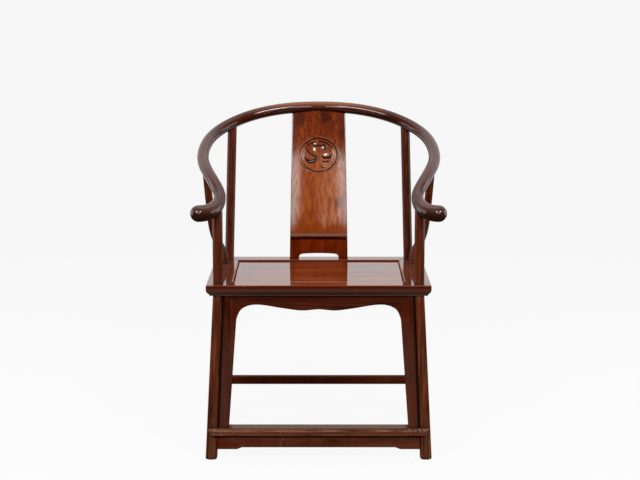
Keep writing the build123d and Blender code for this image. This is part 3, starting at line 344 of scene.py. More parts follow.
# ---------------------------------------------------------------- nodes and polish
class Nodes:
    """Short names for a material's nodes."""

    def __init__(self, tree):
        self.tree = tree

    def give(self, node, inputs):
        """A node's inputs, as numbers or as other nodes' outputs."""
        for key, value in inputs.items():
            if isinstance(value, bpy.types.NodeSocket):
                self.tree.links.new(value, node.inputs[key])
            else:
                node.inputs[key].default_value = value

    def add(self, kind, inputs=None, **settings):
        """A node with its settings and inputs."""
        node = self.tree.nodes.new(kind)
        for key, value in settings.items():
            setattr(node, key, value)
        self.give(node, inputs or {})
        return node

    def ramp(self, factor, stops):
        """A colour ramp through (place, colour) stops."""
        node = self.add("ShaderNodeValToRGB", {"Fac": factor})
        elements = node.color_ramp.elements
        while len(elements) < len(stops):
            elements.new(0.5)
        for element, (place, colour) in zip(elements, stops):
            element.position = place
            element.color = (*colour, 1.0)
        return node.outputs["Color"]

    def spread(self, value, low, high, out_low=0.0, out_high=1.0):
        """A value's range brought to another."""
        return self.add("ShaderNodeMapRange", {
            "Value": value, "From Min": low, "From Max": high, "To Min": out_low, "To Max": out_high,
        }).outputs["Result"]

    def mix(self, factor, a, b, kind="MIX"):
        """Two colours mixed by a factor."""
        a, b = (c if isinstance(c, bpy.types.NodeSocket) else (*c, 1.0) for c in (a, b))
        return self.add("ShaderNodeMix", {0: factor, 6: a, 7: b}, data_type="RGBA", blend_type=kind).outputs[2]

    def lay(self, colour, *coats):
        """Other colours laid over one, each as (strength, colour)."""
        for strength, coat in coats:
            colour = self.mix(strength, colour, coat)
        return colour

    def tint(self, a, b):
        """Two colours multiplied."""
        return self.mix(1.0, a, b, "MULTIPLY")

    def noise(self, place, scale, detail=3.0, rough=0.55, distort=0.0):
        """Fractal noise at a place."""
        return self.add("ShaderNodeTexNoise", {
            "Vector": place, "Scale": scale, "Detail": detail, "Roughness": rough, "Distortion": distort,
        }).outputs["Fac"]

    def patches(self, place, scale, low, high, out_low=0.0, out_high=1.0):
        """Noise whose range is brought to another."""
        return self.spread(self.noise(place, scale, 3.0, 0.6), low, high, out_low, out_high)

    def math(self, a, b, kind):
        """Two numbers joined by one kind of sum."""
        return self.add("ShaderNodeMath", {0: a, 1: b}, operation=kind).outputs[0]

    def sum(self, a, b):
        """The first number and the second."""
        return self.math(a, b, "ADD")

    def less(self, a, b):
        """The first number less the second."""
        return self.math(a, b, "SUBTRACT")

    def times(self, a, b):
        """The first number times the second."""
        return self.math(a, b, "MULTIPLY")

    def most(self, a, b):
        """The larger of two numbers."""
        return self.math(a, b, "MAXIMUM")

    @cached_property
    def place(self):
        """A point's place on the chair."""
        return self.add("ShaderNodeTexCoord").outputs["Object"]

    @cached_property
    def at(self):
        """A point's X, Y and Z."""
        return self.axes(self.place)

    @cached_property
    def out(self):
        """A point's distance from the chair's middle plane."""
        return self.apart(self.at["X"])

    @cached_property
    def up(self):
        """How far a surface faces up."""
        return self.axes(self.add("ShaderNodeNewGeometry").outputs["Normal"])["Z"]

    def apart(self, value, middle=0.0):
        """How far a value lies from a middle one, either way."""
        return self.math(self.less(value, middle), 0.0, "ABSOLUTE")

    def band(self, value, low, high, soft, strength=1.0):
        """Strength between two values, fading over a soft edge outside them."""
        rise = self.spread(value, low - soft, low, 0.0, strength)
        return self.times(rise, self.spread(value, high, high + soft, 1.0, 0.0))

    def axes(self, vector):
        """A vector's X, Y and Z outputs."""
        return self.add("ShaderNodeSeparateXYZ", {0: vector}).outputs

    def stretch(self, place, scale):
        """A place with its axes scaled: noise is drawn out along the axis with the smallest scale."""
        return self.add("ShaderNodeMapping", {"Vector": place, "Scale": scale}).outputs["Vector"]


# How strongly edges are painted pale: rubbed wear, and a painted highlight along them.
RUBBED_AND_LIT_EDGES = 0.35
# How fine the wood's patterns are, per metre.
BROAD_FIGURE = 22.0
STREAKS = 95.0
CLOUDS = 7.0
PORES = 900.0
RUBBED_PATCHES = 38.0
HAZE = 16.0
RIPPLES = 26.0
PALE_STREAKS = 150.0
DARK_STREAKS = 110.0
# also the scale of the splat's painted sheen streaks
DUST_AND_SHEEN_STREAKS = 120.0
# How they are drawn out along the grain: up a piece, or along one that lies across.
DRAWN = (1.0, 1.0, 0.07)
FINELY_DRAWN = (1.0, 1.0, 0.035)
DRAWN_ACROSS = (0.05, 1.0, 1.0)


def grain_place(n, along, seed):
    """Coordinates in a piece of timber: its grain runs along local Z, and each piece is cut elsewhere."""
    turn = Vector(along).normalized().rotation_difference(Vector((0, 0, 1))).to_euler()
    shift = (seed * 0.37 % 1.9, seed * 0.61 % 2.3, seed * 0.83 % 1.7)
    return n.add("ShaderNodeMapping", {"Vector": n.place, "Location": shift, "Rotation": turn}).outputs["Vector"]


def new_tree(data):
    """A material's or world's nodes, with short names."""
    data.use_nodes = True
    return Nodes(data.node_tree)


def polished_wood(name, along, seed, colours, finish, edge=0.0012, rough=0.36, polish=1.0, smooth=1.0, wave=1.0,
                  shade=1.0, streaks=1.0, crevice=0.007, tone=None, bare=None):
    """Old polished hardwood: a streaked figure, fine pores, pale rubbed edges that are partly a painted highlight,
    painted shade in its crevices and an uneven wax polish.

    The colours are those of its dark streaks, its body and its light streaks. Tone changes the colour from place
    to place, and bare gives the places where the polish is worn through.
    """
    dark, middle, light = (tuple(c * shade for c in colour) for colour in colours)
    material = bpy.data.materials.new(name)
    n = new_tree(material)
    place = grain_place(n, along, seed)
    stretched = n.stretch(place, DRAWN)
    fibres = n.stretch(place, FINELY_DRAWN)

    broad = n.noise(stretched, BROAD_FIGURE, 3.0, 0.5, 0.6)
    streak = n.noise(stretched, STREAKS, 4.0, 0.6, 1.1)
    bands = n.sum(n.times(broad, 0.55), n.times(streak, 0.45))
    reach = 1.0 / streaks
    colour = n.ramp(bands, (
        (0.49 - 0.13 * min(reach, 3.7), dark), (0.49, middle), (0.49 + 0.17 * min(reach, 2.9), light),
    ))
    cloud = n.noise(place, CLOUDS, 3.0, 0.55, 0.3)
    colour = n.mix(n.spread(cloud, 0.45, 0.72, 0.0, 0.45), colour, dark)

    pores = n.spread(n.noise(fibres, PORES, 2.0, 0.5), 0.60, 0.70)
    colour = n.mix(n.times(pores, 0.55), colour, tuple(c * 0.35 for c in dark))

    rounded = n.add("ShaderNodeBevel", {"Radius": edge}, samples=6).outputs["Normal"]
    flat = n.add("ShaderNodeNewGeometry").outputs["Normal"]
    edges = n.add("ShaderNodeVectorMath", {0: rounded, 1: flat}, operation="DOT_PRODUCT").outputs["Value"]
    # pale edges where the bevel bends the normal: partly rubbed wear, partly a painted highlight
    rubbed = n.times(n.spread(edges, 0.995, 0.86), n.patches(place, RUBBED_PATCHES, 0.42, 0.62))
    colour = n.mix(n.times(rubbed, RUBBED_AND_LIT_EDGES), colour, tuple(min(1.0, c * 1.6 + 0.01) for c in light))
    if tone:
        colour = tone(n, colour)
    # painted shade: the colour darkens where ambient occlusion finds the surface hemmed in
    hollow = n.add("ShaderNodeAmbientOcclusion", {"Distance": crevice}, samples=4).outputs["AO"]
    colour = n.mix(n.spread(hollow, 0.35, 0.88, 0.95, 0.0), colour, tuple(c * 0.15 for c in dark))

    haze = n.noise(place, HAZE, 4.0, 0.6, 0.5)
    coat = finish.polish * polish
    ripple = n.noise(stretched, RIPPLES, 2.0, 0.5)
    slow = n.add("ShaderNodeBump", {
        "Height": ripple, "Strength": 0.6, "Distance": 0.0008 * wave, "Normal": rounded,
    }).outputs["Normal"]
    fine = n.add("ShaderNodeBump", {
        "Height": n.sum(streak, n.times(pores, -0.5)), "Strength": 0.5, "Distance": 0.00022, "Normal": slow,
    }).outputs["Normal"]
    n.give(n.tree.nodes["Principled BSDF"], {
        "Base Color": colour,
        "Roughness": n.sum(n.spread(haze, 0.3, 0.75, rough - 0.08, rough + 0.12), n.times(pores, 0.18)),
        "Specular IOR Level": 0.0,
        "Coat Weight": n.times(n.less(1.0, bare(n)), coat) if bare else coat,
        "Coat Roughness": finish.polish_roughness * smooth,
        "Coat IOR": 1.5,
        "Normal": fine,
        "Coat Normal": slow,
    })
    return material


# ---------------------------------------------------------------- wear, and painted light and shade
# Colours laid on the woods: some are wear, wax and dusty patches; others are painted light: highlights, sheens,
# reflections, shade and shadows.
# Painted light on the crest rail: a highlight on its top, sheens on the arms and bends, and shade under it.
RAIL_TOP_HIGHLIGHT = (0.3, 0.1, 0.045)
RAIL_BEND_SHEEN = (0.14, 0.075, 0.066)
RAIL_UNDER_SHADE = (0.02, 0.0035, 0.0012)
ARM_SHEEN_TOP = (0.085, 0.039, 0.035)
ARM_SHADED_UNDER = (0.03, 0.009, 0.006)
# Painted light on the seat's frame: shade on the side rails' tops, a reflection low on the moulded edge, a pale bead
# that is wear and a painted highlight, and a shadow in the seam.
SEAT_SHADED = (0.085, 0.032, 0.025)
SEAT_LIP_REFLECTION = (0.095, 0.042, 0.03)
SEAT_BEAD_WEAR_AND_HIGHLIGHT = (0.45, 0.25, 0.17)
SEAT_SEAM_SHADOW = (0.07, 0.014, 0.005)
LEG_LOWER_PALE = (0.125, 0.044, 0.022)
LEG_PALE = (0.19, 0.052, 0.02)
LEG_DARK = (0.028, 0.008, 0.004)
LEG_SCUFF = (0.24, 0.13, 0.085)
STRIP_GREY = (0.115, 0.046, 0.03)
# painted shadow in the front strips' seam beside the legs
STRIP_SEAM_SHADOW = (0.012, 0.004, 0.003)
APRON_SHADED = (0.03, 0.006, 0.003)
REST_DRY = (0.125, 0.047, 0.023)
REST_PALE = (0.2, 0.07, 0.028)
REST_DARK = (0.04, 0.012, 0.006)
# pale edge lines on the footrest: wear and a painted highlight
REST_EDGE_WEAR_AND_HIGHLIGHT = (0.33, 0.16, 0.1)
REST_DUST = (0.1, 0.036, 0.022)
REST_BOARD_PALE = (0.15, 0.045, 0.018)
SCRATCHED = (0.36, 0.22, 0.16)
# painted shadow up under the splat's ledge
LEDGE_SHADOW = (0.02, 0.002, 0.0004)
# painted highlight on the roundel's bead
BEAD_HIGHLIGHT = (0.36, 0.17, 0.11)
SPLAT_BODY = (0.27, 0.052, 0.008)
SPLAT_GLOW = (0.4, 0.1, 0.014)
# painted sheen on the splat
SPLAT_SHEEN = (0.42, 0.2, 0.12)
SPLAT_FLECK = (0.06, 0.009, 0.0022)
SPLAT_TOP = (0.085, 0.012, 0.0025)
SPLAT_RIM = (0.06, 0.009, 0.003)
SPLAT_FOOT = (0.2, 0.034, 0.004)
SPLAT_STAIN = (0.025, 0.006, 0.004)
# painted shade over the splat's ledge, and a painted highlight on its upper half
LEDGE_SHADE = (0.105, 0.036, 0.018)
LEDGE_HIGHLIGHT = (0.2, 0.085, 0.052)
# Where they lie, in metres: heights over the floor and distances from the middle.
ARM_FROM, ARM_TO = 0.78, 0.70
LEG_WORN_FROM, LEG_WORN_TO = 0.42, 0.03
LEDGE_DULL_FROM, LEDGE_DULL_TO = 0.624, 0.592
# heights of the splat's painted sheen
SHEEN_LOW, SHEEN_HIGH = 0.60, 0.80
LEDGE = SEAT_TOP + LEDGE_UP * MM
PANEL_SIDE = SEAT_SIDE - SIDE_MEMBER * MM


def beyond_seam(n):
    """Distance outside the seam round the seat's panel, in metres: below nought on the panel."""
    front, back = SEAT_FRONT + FRONT_MEMBER * MM, SEAT_BACK - REAR_MEMBER * MM
    deep = n.less(n.apart(n.at["Y"], (front + back) / 2), (back - front) / 2)
    return n.most(n.less(n.out, PANEL_SIDE), deep)


def rail_tone(n, colour):
    """Crest rail: a warm painted highlight on the top at the middle of the back, greyer arms with a painted sheen on
    top and painted shade under them, a grey painted sheen on the bends, and painted shade on the underside.
    """
    arm = n.spread(n.at["Z"], ARM_FROM, ARM_TO, 0.0, 0.75)
    bend = n.times(n.spread(n.out, 0.28, 0.33), n.spread(n.up, -0.1, 0.5, 0.0, 0.55))
    # painted light by the way each face turns: lighter upward, darker downward, grey sheens on arms and bends
    return n.lay(
        colour,
        (n.times(n.spread(n.up, 0.1, 0.8, 0.0, 0.72), n.spread(n.out, 0.22, 0.08)), RAIL_TOP_HIGHLIGHT),
        (arm, n.mix(n.spread(n.up, 0.0, 0.8), ARM_SHADED_UNDER, ARM_SHEEN_TOP)),
        (n.times(bend, n.spread(arm, 0.3, 0.0)), RAIL_BEND_SHEEN),
        (n.spread(n.up, 0.25, -0.5, 0.0, 0.9), RAIL_UNDER_SHADE),
    )


def worn_seat(n):
    """Where the seat's polish is worn through: a patch in front of the splat."""
    return n.times(n.spread(n.out, 0.078, 0.066), n.spread(n.at["Y"], -0.08, 0.06, 0.55, 0.985))


def dull_edge(n):
    """Where the seat's frame has little polish: along the panel's seam and on the moulded outer edge."""
    beyond = beyond_seam(n)
    rear = n.times(n.spread(beyond, 0.0038, 0.006, 0.85, 0.0), n.spread(n.at["Y"], 0.1, 0.12))
    seam = n.most(n.spread(beyond, 0.0016, 0.003, 1.0, 0.0), rear)
    lip = n.spread(n.at["Y"], SEAT_FRONT + 0.006, SEAT_FRONT + 0.002, 0.0, 0.55)
    edge = n.spread(n.at["Z"], SEAT_TOP - 0.0004, SEAT_TOP - 0.0015, 0.0, 0.8)
    return n.most(seam, n.most(lip, edge))


def seat_edge_tone(n, colour):
    """The seat's frame: a painted shadow line and a pale bead, part wear and part painted highlight, along the panel's
    seam; painted shade on the moulded edge, with a painted reflection low on it; and painted shade on the side rails'
    tops.
    """
    beyond = beyond_seam(n)
    side = n.spread(n.at["Z"], SEAT_TOP - 0.0006, SEAT_TOP - 0.0024)
    outside = n.spread(beyond, 0.004, 0.008)
    # painted shade on the side faces of the moulded outer edge
    colour = n.mix(n.times(side, outside), colour, n.tint(colour, (0.34, 0.25, 0.2)))
    ends = n.spread(n.out, PANEL_SIDE + 0.0003, PANEL_SIDE - 0.0003, 0.12, 1.0)
    shaded = n.times(n.spread(beyond, 0.006, 0.012, 0.0, 0.6), n.less(1.0, ends))
    lip = n.spread(n.at["Z"], SEAT_TOP - 0.007, SEAT_TOP - 0.016, 0.0, 0.8)
    # painted shade on the side rails' tops, a painted reflection low on the edge, the pale bead (wear and painted
    # highlight) and a painted shadow in the seam
    return n.lay(
        colour,
        (n.times(shaded, n.less(1.0, side)), SEAT_SHADED),
        (n.times(lip, outside), SEAT_LIP_REFLECTION),
        (n.band(beyond, 0.0016, 0.0038, 0.0005, 0.75), SEAT_BEAD_WEAR_AND_HIGHLIGHT),
        (n.times(n.spread(beyond, 0.0004, 0.0009, 0.85, 0.0), ends), SEAT_SEAM_SHADOW),
    )


def worn_foot(n, colour):
    """Legs: paler towards the floor, with pale and dark streaks low down and a few rubbed scuffs."""
    uneven = n.spread(n.noise(n.place, 30.0), 0.3, 0.7, 0.6, 1.1)
    fibres = n.stretch(n.place, (1.0, 1.0, 0.05))
    lower = n.spread(n.at["Z"], SEAT_UNDER, 0.25, 0.35, 1.0)
    scuffs = n.spread(n.noise(n.stretch(n.place, (1.0, 1.0, 0.22)), 150.0, 3.0, 0.7), 0.66, 0.74)
    return n.lay(
        colour,
        (n.times(n.spread(n.at["Z"], LEG_WORN_FROM, LEG_WORN_TO, 0.05, 0.7), uneven), LEG_LOWER_PALE),
        (n.times(n.patches(fibres, PALE_STREAKS, 0.47, 0.6, 0.0, 0.7), lower), LEG_PALE),
        (n.times(n.patches(fibres, DARK_STREAKS, 0.5, 0.4, 0.0, 0.75), lower), LEG_DARK),
        (n.times(scuffs, n.spread(n.at["Z"], LEG_WORN_FROM, 0.30, 0.0, 0.55)), LEG_SCUFF),
    )


def dull_leg(n):
    """Legs keep less polish below the seat than the posts above it."""
    return n.spread(n.at["Z"], SEAT_UNDER + 0.03, SEAT_UNDER - 0.01, 0.0, 0.75)


def strip_tone(n, colour):
    """Front strips: painted shade in the seam along the leg, lightening towards the opening."""
    face = n.spread(n.at["Z"], 0.0, SEAT_UNDER, (FRONT_FOOT[0] - LEG_FOOT / 2) * MM, (FRONT_LEG[0] - LEG_TOP / 2) * MM)
    beside = n.less(face, n.out)
    # painted shade: darker beside the leg, where the set-back strip lies in shadow, lighter towards the opening
    colour = n.tint(colour, n.ramp(n.spread(beside, 0.0, 0.03), ((0.0, (0.7, 0.7, 0.7)), (1.0, (1.3, 1.15, 1.1)))))
    return n.lay(
        colour,
        (n.spread(n.at["Z"], SEAT_UNDER - 0.05, SEAT_UNDER - 0.16, 0.0, 0.3), STRIP_GREY),
        (n.spread(beside, 0.003, 0.0058, 0.9, 0.0), STRIP_SEAM_SHADOW),
    )


def apron_tone(n, colour):
    """Aprons: a painted shadow, darker up under the seat."""
    return n.mix(n.spread(n.at["Z"], SEAT_UNDER - 0.034, SEAT_UNDER - 0.006, 0.0, 0.6), colour, APRON_SHADED)


def footrest_tone(n, colour):
    """Footrest: dry, rubbed wood with pale edge lines, part wear and part painted highlight, spots near its ends and a
    scratch down the front.
    """
    long = n.stretch(n.place, (0.12, 1.0, 1.0))
    fibres = n.stretch(n.place, DRAWN_ACROSS)
    rubbed = n.patches(long, DUST_AND_SHEEN_STREAKS, 0.38, 0.66)
    # pale lines along the front's rounded top and bottom edges: wear and a painted highlight
    upper = n.band(n.at["Z"], REST_TOP - 0.0072, REST_TOP - 0.0045, 0.0012, 0.8)
    lower = n.band(n.at["Z"], REST_LOW - 0.001, REST_LOW + 0.0024, 0.0012, 0.75)
    colour = n.lay(
        colour,
        (n.patches(long, 40.0, 0.35, 0.7, 0.1, 0.75), REST_DRY),
        (n.patches(fibres, PALE_STREAKS, 0.53, 0.66, 0.0, 0.55), REST_PALE),
        (n.patches(fibres, DARK_STREAKS, 0.47, 0.36, 0.0, 0.6), REST_DARK),
        (n.times(n.patches(n.place, 150.0, 0.56, 0.66), n.spread(n.out, 0.2, 0.31, 0.0, 0.8)), SCRATCHED),
        (n.times(upper, rubbed), REST_EDGE_WEAR_AND_HIGHLIGHT),
        (n.times(lower, rubbed), REST_EDGE_WEAR_AND_HIGHLIGHT),
    )
    return scratch(n, colour, -0.108, -0.3, REST_LOW, REST_TOP - 0.006)


def scratch(n, colour, x, slope, low, high):
    """A pale, slanting scratch down a front face between two heights."""
    off = n.apart(n.sum(n.at["X"], n.times(n.at["Z"], slope)), x + slope * low)
    broken = n.spread(n.noise(n.place, 320.0, 2.0), 0.42, 0.55)
    line = n.times(n.spread(off, 0.0003, 0.0009, 0.6, 0.0), broken)
    return n.mix(n.times(line, n.band(n.at["Z"], low, high, 0.001)), colour, SCRATCHED)


def rest_apron_tone(n, colour):
    """Board under the footrest: a little dusty, with a scratch."""
    colour = n.lay(
        colour,
        (n.patches(n.place, 26.0, 0.35, 0.7, 0.1, 0.55), REST_DUST),
        (n.patches(n.stretch(n.place, DRAWN_ACROSS), DUST_AND_SHEEN_STREAKS, 0.5, 0.64, 0.0, 0.45), REST_BOARD_PALE),
    )
    return scratch(n, colour, -0.1095, -0.35, 0.036, 0.066)


def under_ledge_shadow(n, colour):
    """The splat's feet and the board between them: a little less green and blue, and a painted shadow, nearly black, up
    under the ledge.
    """
    high = n.spread(n.at["Z"], SEAT_TOP + (LEDGE_UP - 8.5) * MM, SEAT_TOP + (LEDGE_UP - 4.5) * MM, 0.0, 0.93)
    return n.mix(high, n.tint(colour, (0.95, 0.7, 0.5)), LEDGE_SHADOW)


def over_ledge(n, strength=0.9):
    """Strength on the splat's board just over its ledge, with an uneven upper edge; little polish is left there."""
    uneven = n.patches(n.stretch(n.place, (1.0, 1.0, 0.4)), 34.0, 0.35, 0.65, -0.013, 0.017)
    return n.spread(n.sum(n.at["Z"], uneven), LEDGE_DULL_FROM, LEDGE_DULL_TO, 0.0, strength)


def bead_highlight_tone(n, colour):
    """Bead round the roundel: a pale painted highlight, patchy in strength."""
    return n.mix(n.spread(n.noise(n.place, 45.0, 3.0), 0.4, 0.6, 0.1, 0.7), colour, BEAD_HIGHLIGHT)


def splat_tone(n, colour):
    """The splat's board: streaked and flecked, dark at its top and sides, stained, with painted sheen streaks, painted
    shade over the ledge and a painted highlight along the ledge's top.
    """
    up = n.at["Z"]
    long = n.stretch(n.place, (1.0, 1.0, 0.3))
    fibres = n.stretch(n.place, FINELY_DRAWN)
    cloud = n.noise(long, 26.0, 4.0, 0.6, 0.8)
    # painted sheen: pale streaks for the lamps' reflection, right of the middle and near the edges
    sheen = n.times(n.patches(fibres, DUST_AND_SHEEN_STREAKS, 0.42, 0.60, 0.1, 0.75), n.band(up, SHEEN_LOW, SHEEN_HIGH, 0.05))
    where = n.most(n.spread(n.at["X"], -0.02, 0.02), n.spread(n.out, 0.046, 0.066))
    fleck = n.spread(n.noise(long, 210.0, 3.0, 0.65), 0.50, 0.66)
    colour = n.lay(
        colour,
        (0.35, SPLAT_BODY),
        (n.patches(fibres, PALE_STREAKS, 0.46, 0.64, 0.0, 0.6), SPLAT_GLOW),
        (n.times(sheen, n.times(where, n.spread(cloud, 0.3, 0.6, 0.4, 1.0))), SPLAT_SHEEN),
        (n.times(fleck, n.spread(up, 0.74, 0.86, 0.0, 0.75)), SPLAT_FLECK),
        (n.times(n.spread(up, 0.76, 0.90, 0.0, 0.8), n.spread(cloud, 0.35, 0.62, 0.25, 1.0)), SPLAT_TOP),
        (n.times(n.spread(n.out, 0.062, 0.084, 0.0, 0.75), n.spread(cloud, 0.3, 0.6, 0.3, 1.0)), SPLAT_RIM),
        (over_ledge(n, 0.85), SPLAT_FOOT),
    )
    for x, z, wide, high, deep in SPLAT_STAINS:
        dx = n.times(n.less(n.at["X"], x), 1 / wide)
        dz = n.times(n.less(up, z), 1 / high)
        far = n.sum(n.sum(n.times(dx, dx), n.times(dz, dz)), n.spread(cloud, 0.3, 0.7, 1.3, -1.3))
        colour = n.mix(n.spread(far, 1.4, 0.1, 0.0, deep), colour, SPLAT_STAIN)
    # painted shade over the ledge's bead, and a painted highlight on its upper half
    worn = n.band(up, LEDGE + 0.0075, LEDGE + 0.0125, 0.0025, 0.8)
    return n.lay(
        colour,
        (n.spread(up, 0.78, 0.86), n.tint(colour, (0.9, 0.76, 0.6))),
        (n.band(up, LEDGE - 0.001, LEDGE + 0.0145, 0.0015, 0.8), LEDGE_SHADE),
        (n.times(worn, n.spread(cloud, 0.3, 0.6, 0.6, 1.0)), LEDGE_HIGHLIGHT),
    )


# ---------------------------------------------------------------- woods
def frame_wood(name, along, seed, finish, **changes):
    """The dark reddish wood of the frame."""
    colours = finish.frame_dark, finish.frame_mid, finish.frame_light
    return polished_wood(name, along, seed, colours, finish, **changes)


def splat_wood(name, seed, finish, **changes):
    """The warmer wood of the back splat, with its grain up the board."""
    colours = finish.splat_dark, finish.splat_mid, finish.splat_light
    return polished_wood(name, (0, 0.2, 1), seed, colours, finish, **changes)


def seat_wood(name, along, seed, finish, **changes):
    """The glossy wood of the seat."""
    colours = finish.frame_mid, finish.panel_mid, finish.panel_light
    return polished_wood(name, along, seed, colours, finish, **changes)


def dress(node, material):
    """A CAD node's surface in a material."""
    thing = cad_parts[node]
    if not thing.material_slots:
        thing.data.materials.append(material)
    for slot in thing.material_slots:
        slot.link = "OBJECT"
        slot.material = material


def add_thing(name, data, place=(0, 0, 0), turn=(0, 0, 0)):
    """An object in the scene."""
    thing = bpy.data.objects.new(name, data)
    thing.location, thing.rotation_euler = place, turn
    bpy.context.scene.collection.objects.link(thing)
    return thing


def add_mesh(name, shape, material):
    """A mesh object with one material."""
    vertices, faces = shape
    mesh = bpy.data.meshes.new(name)
    mesh.from_pydata([tuple(v) for v in vertices], [], faces)
    mesh.validate()
    mesh.materials.append(material)
    return add_thing(name, mesh)


def add_piece(node, shape, material, angle, name=None):
    """A new piece on the chair's one body, standing for a CAD node.

    Its shading is smooth, and breaks at edges sharper than an angle in degrees.
    """
    thing = add_mesh(name or node + "_shaped", shape, material)
    thing.data.shade_smooth()
    thing.data.set_sharp_from_angle(angle=math.radians(angle))
    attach(thing, "root")
    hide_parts(node)
    return thing


def both_sides(name, shape):
    """A right-hand shape and its mirror image: for each, its node's name, the shape and the sign of its X."""
    vertices, faces = shape
    left = [(-v[0], v[1], v[2]) for v in vertices], [tuple(reversed(f)) for f in faces]
    return (name.format("right"), shape, 1), (name.format("left"), left, -1)


# ---------------------------------------------------------------- bent members
class Path:
    """Smooth line through points, as a bent member's centreline."""

    def __init__(self, points, start_way=None, end_way=None):
        self.points = np.array(points, float)
        gaps = np.linalg.norm(np.diff(self.points, axis=0), axis=1)
        self.at = np.concatenate(([0.0], np.cumsum(gaps)))
        # each end's slope is that of the cubic through the four points nearest it
        first = np.polyfit(self.at[:4] - self.at[0], self.points[:4], 3)[2]
        last = np.polyfit(self.at[-4:] - self.at[-1], self.points[-4:], 3)[2]
        if start_way is not None:
            first = np.array(start_way) / np.linalg.norm(start_way) * np.linalg.norm(first)
        if end_way is not None:
            last = np.array(end_way) / np.linalg.norm(end_way) * np.linalg.norm(last)
        self.slopes = self.solve(gaps, first, last)
        fine = np.linspace(0, self.at[-1], 4001)
        line = np.array([self.point(t) for t in fine])
        run = np.concatenate(([0.0], np.cumsum(np.linalg.norm(np.diff(line, axis=0), axis=1))))
        self.fine, self.run, self.length = fine, run, run[-1]

    def solve(self, gaps, first, last):
        """Slopes at the points that keep the curvature unbroken."""
        count = len(self.points)
        left = np.zeros((count, count))
        right = np.zeros((count, 3))
        left[0, 0] = left[-1, -1] = 1
        right[0], right[-1] = first, last
        for i in range(1, count - 1):
            a, b = gaps[i - 1], gaps[i]
            left[i, i - 1:i + 2] = b, 2 * (a + b), a
            before, after = self.points[i] - self.points[i - 1], self.points[i + 1] - self.points[i]
            right[i] = 3 * (a / b * after + b / a * before)
        return np.linalg.solve(left, right)

    def point(self, t):
        """Point at a spline parameter."""
        i = int(np.clip(np.searchsorted(self.at, t) - 1, 0, len(self.at) - 2))
        gap = self.at[i + 1] - self.at[i]
        u = (t - self.at[i]) / gap
        p, q = self.points[i], self.points[i + 1]
        m, k = self.slopes[i] * gap, self.slopes[i + 1] * gap
        return ((2 * u**3 - 3 * u**2 + 1) * p + (u**3 - 2 * u**2 + u) * m
                + (-2 * u**3 + 3 * u**2) * q + (u**3 - u**2) * k)

    def where(self, run):
        """Point at a distance along the line, which goes on straight past its ends."""
        inside = min(max(run, 0.0), self.length)
        here = self.point(np.interp(inside, self.run, self.fine))
        return here + (run - inside) * self.way(inside)

    def way(self, run):
        """Direction at a distance along the line."""
        run = min(max(run, 0.0004), self.length - 0.0004)
        a = self.point(np.interp(run - 0.0004, self.run, self.fine))
        b = self.point(np.interp(run + 0.0004, self.run, self.fine))
        return (b - a) / np.linalg.norm(b - a)

    def axes(self, run):
        """Level axis and upward axis square to the line."""
        way = self.way(run)
        across = np.array((way[1], -way[0], 0.0))
        if np.linalg.norm(across) < 0.02:
            across = np.array((1.0, 0.0, 0.0))
        across -= way * across.dot(way)
        across /= np.linalg.norm(across)
        return across, np.cross(way, across)


def crest_path():
    """Centreline of the whole crest rail, from the left grip to the right one."""
    right = [(SEAT_SIDE + x * MM, SEAT_BACK + y * MM, SEAT_TOP + z * MM) for x, y, z in RAIL_REAR_GUIDES]
    right += [(SEAT_SIDE + x * MM, SEAT_FRONT + y * MM, SEAT_TOP + z * MM) for x, y, z in RAIL_ARM_GUIDES]
    middle = (0.0, SEAT_BACK + CREST_BACK * MM, SEAT_TOP + CREST_UP * MM)
    left = [(-x, y, z) for x, y, z in reversed(right)]
    return Path(left + [middle] + right)


def nearest(crest, steps, axis, value):
    """The point of the crest rail, at one of the steps from its middle, that lies nearest a value on an axis."""
    return min((crest.where(crest.length / 2 + step) for step in steps), key=lambda point: abs(point[axis] - value))


def side_path(crest):
    """Centreline of the right side post, from the seat to the crest rail."""
    foot = np.array((SEAT_SIDE + SIDE_FOOT[0] * MM, SEAT_BACK + SIDE_FOOT[1] * MM, SEAT_TOP))
    half = crest.length / 2
    top = nearest(crest, np.linspace(half * 0.4, half * 0.8, 400), 1, foot[1] - SIDE_FORWARD * MM)
    guides = [foot] + [foot + np.array(g) * MM for g in SIDE_GUIDES] + [top]
    return Path(guides, (0, 0, 1), SIDE_END_LEAN)


def tube(rings):
    """Vertices and faces of a closed tube through rings of points."""
    count = len(rings[0])
    vertices = [p for ring in rings for p in ring]
    faces = []
    for i in range(len(rings) - 1):
        a, b = i * count, (i + 1) * count
        faces += [(a + j, a + (j + 1) % count, b + (j + 1) % count, b + j) for j in range(count)]
    faces.append(tuple(reversed(range(count))))
    faces.append(tuple(range(len(vertices) - count, len(vertices))))
    return vertices, faces


def round_section(path, run, radius, sides, part="whole", pinch=""):
    """Ring of points square to a path: the whole circle, or its upper or lower half with a flat chord.

    A pinched half is a little smaller, which leaves a fine open seam where it meets its neighbour.
    """
    here = path.where(run)
    across, up = path.axes(run)
    ring = []
    for j in range(sides):
        turn = 2 * math.pi * j / sides
        x, y = math.cos(turn), math.sin(turn)
        reach = radius
        if pinch == "all" or (pinch == "upper" and y > -0.01) or (pinch == "lower" and y < 0.01):
            reach -= SEAM
        if part != "whole" and abs(y) < 0.01:
            reach -= SEAM
        if (part == "upper" and y < 0) or (part == "lower" and y > 0):
            y = 0.0
        ring.append(here + reach * (x * across + y * up))
    return ring


# ---------------------------------------------------------------- crest rail
RAIL_LOOK = {"rough": 0.3, "shade": 0.62, "polish": 0.85, "streaks": 0.45, "wave": 0.15, "smooth": 0.9}


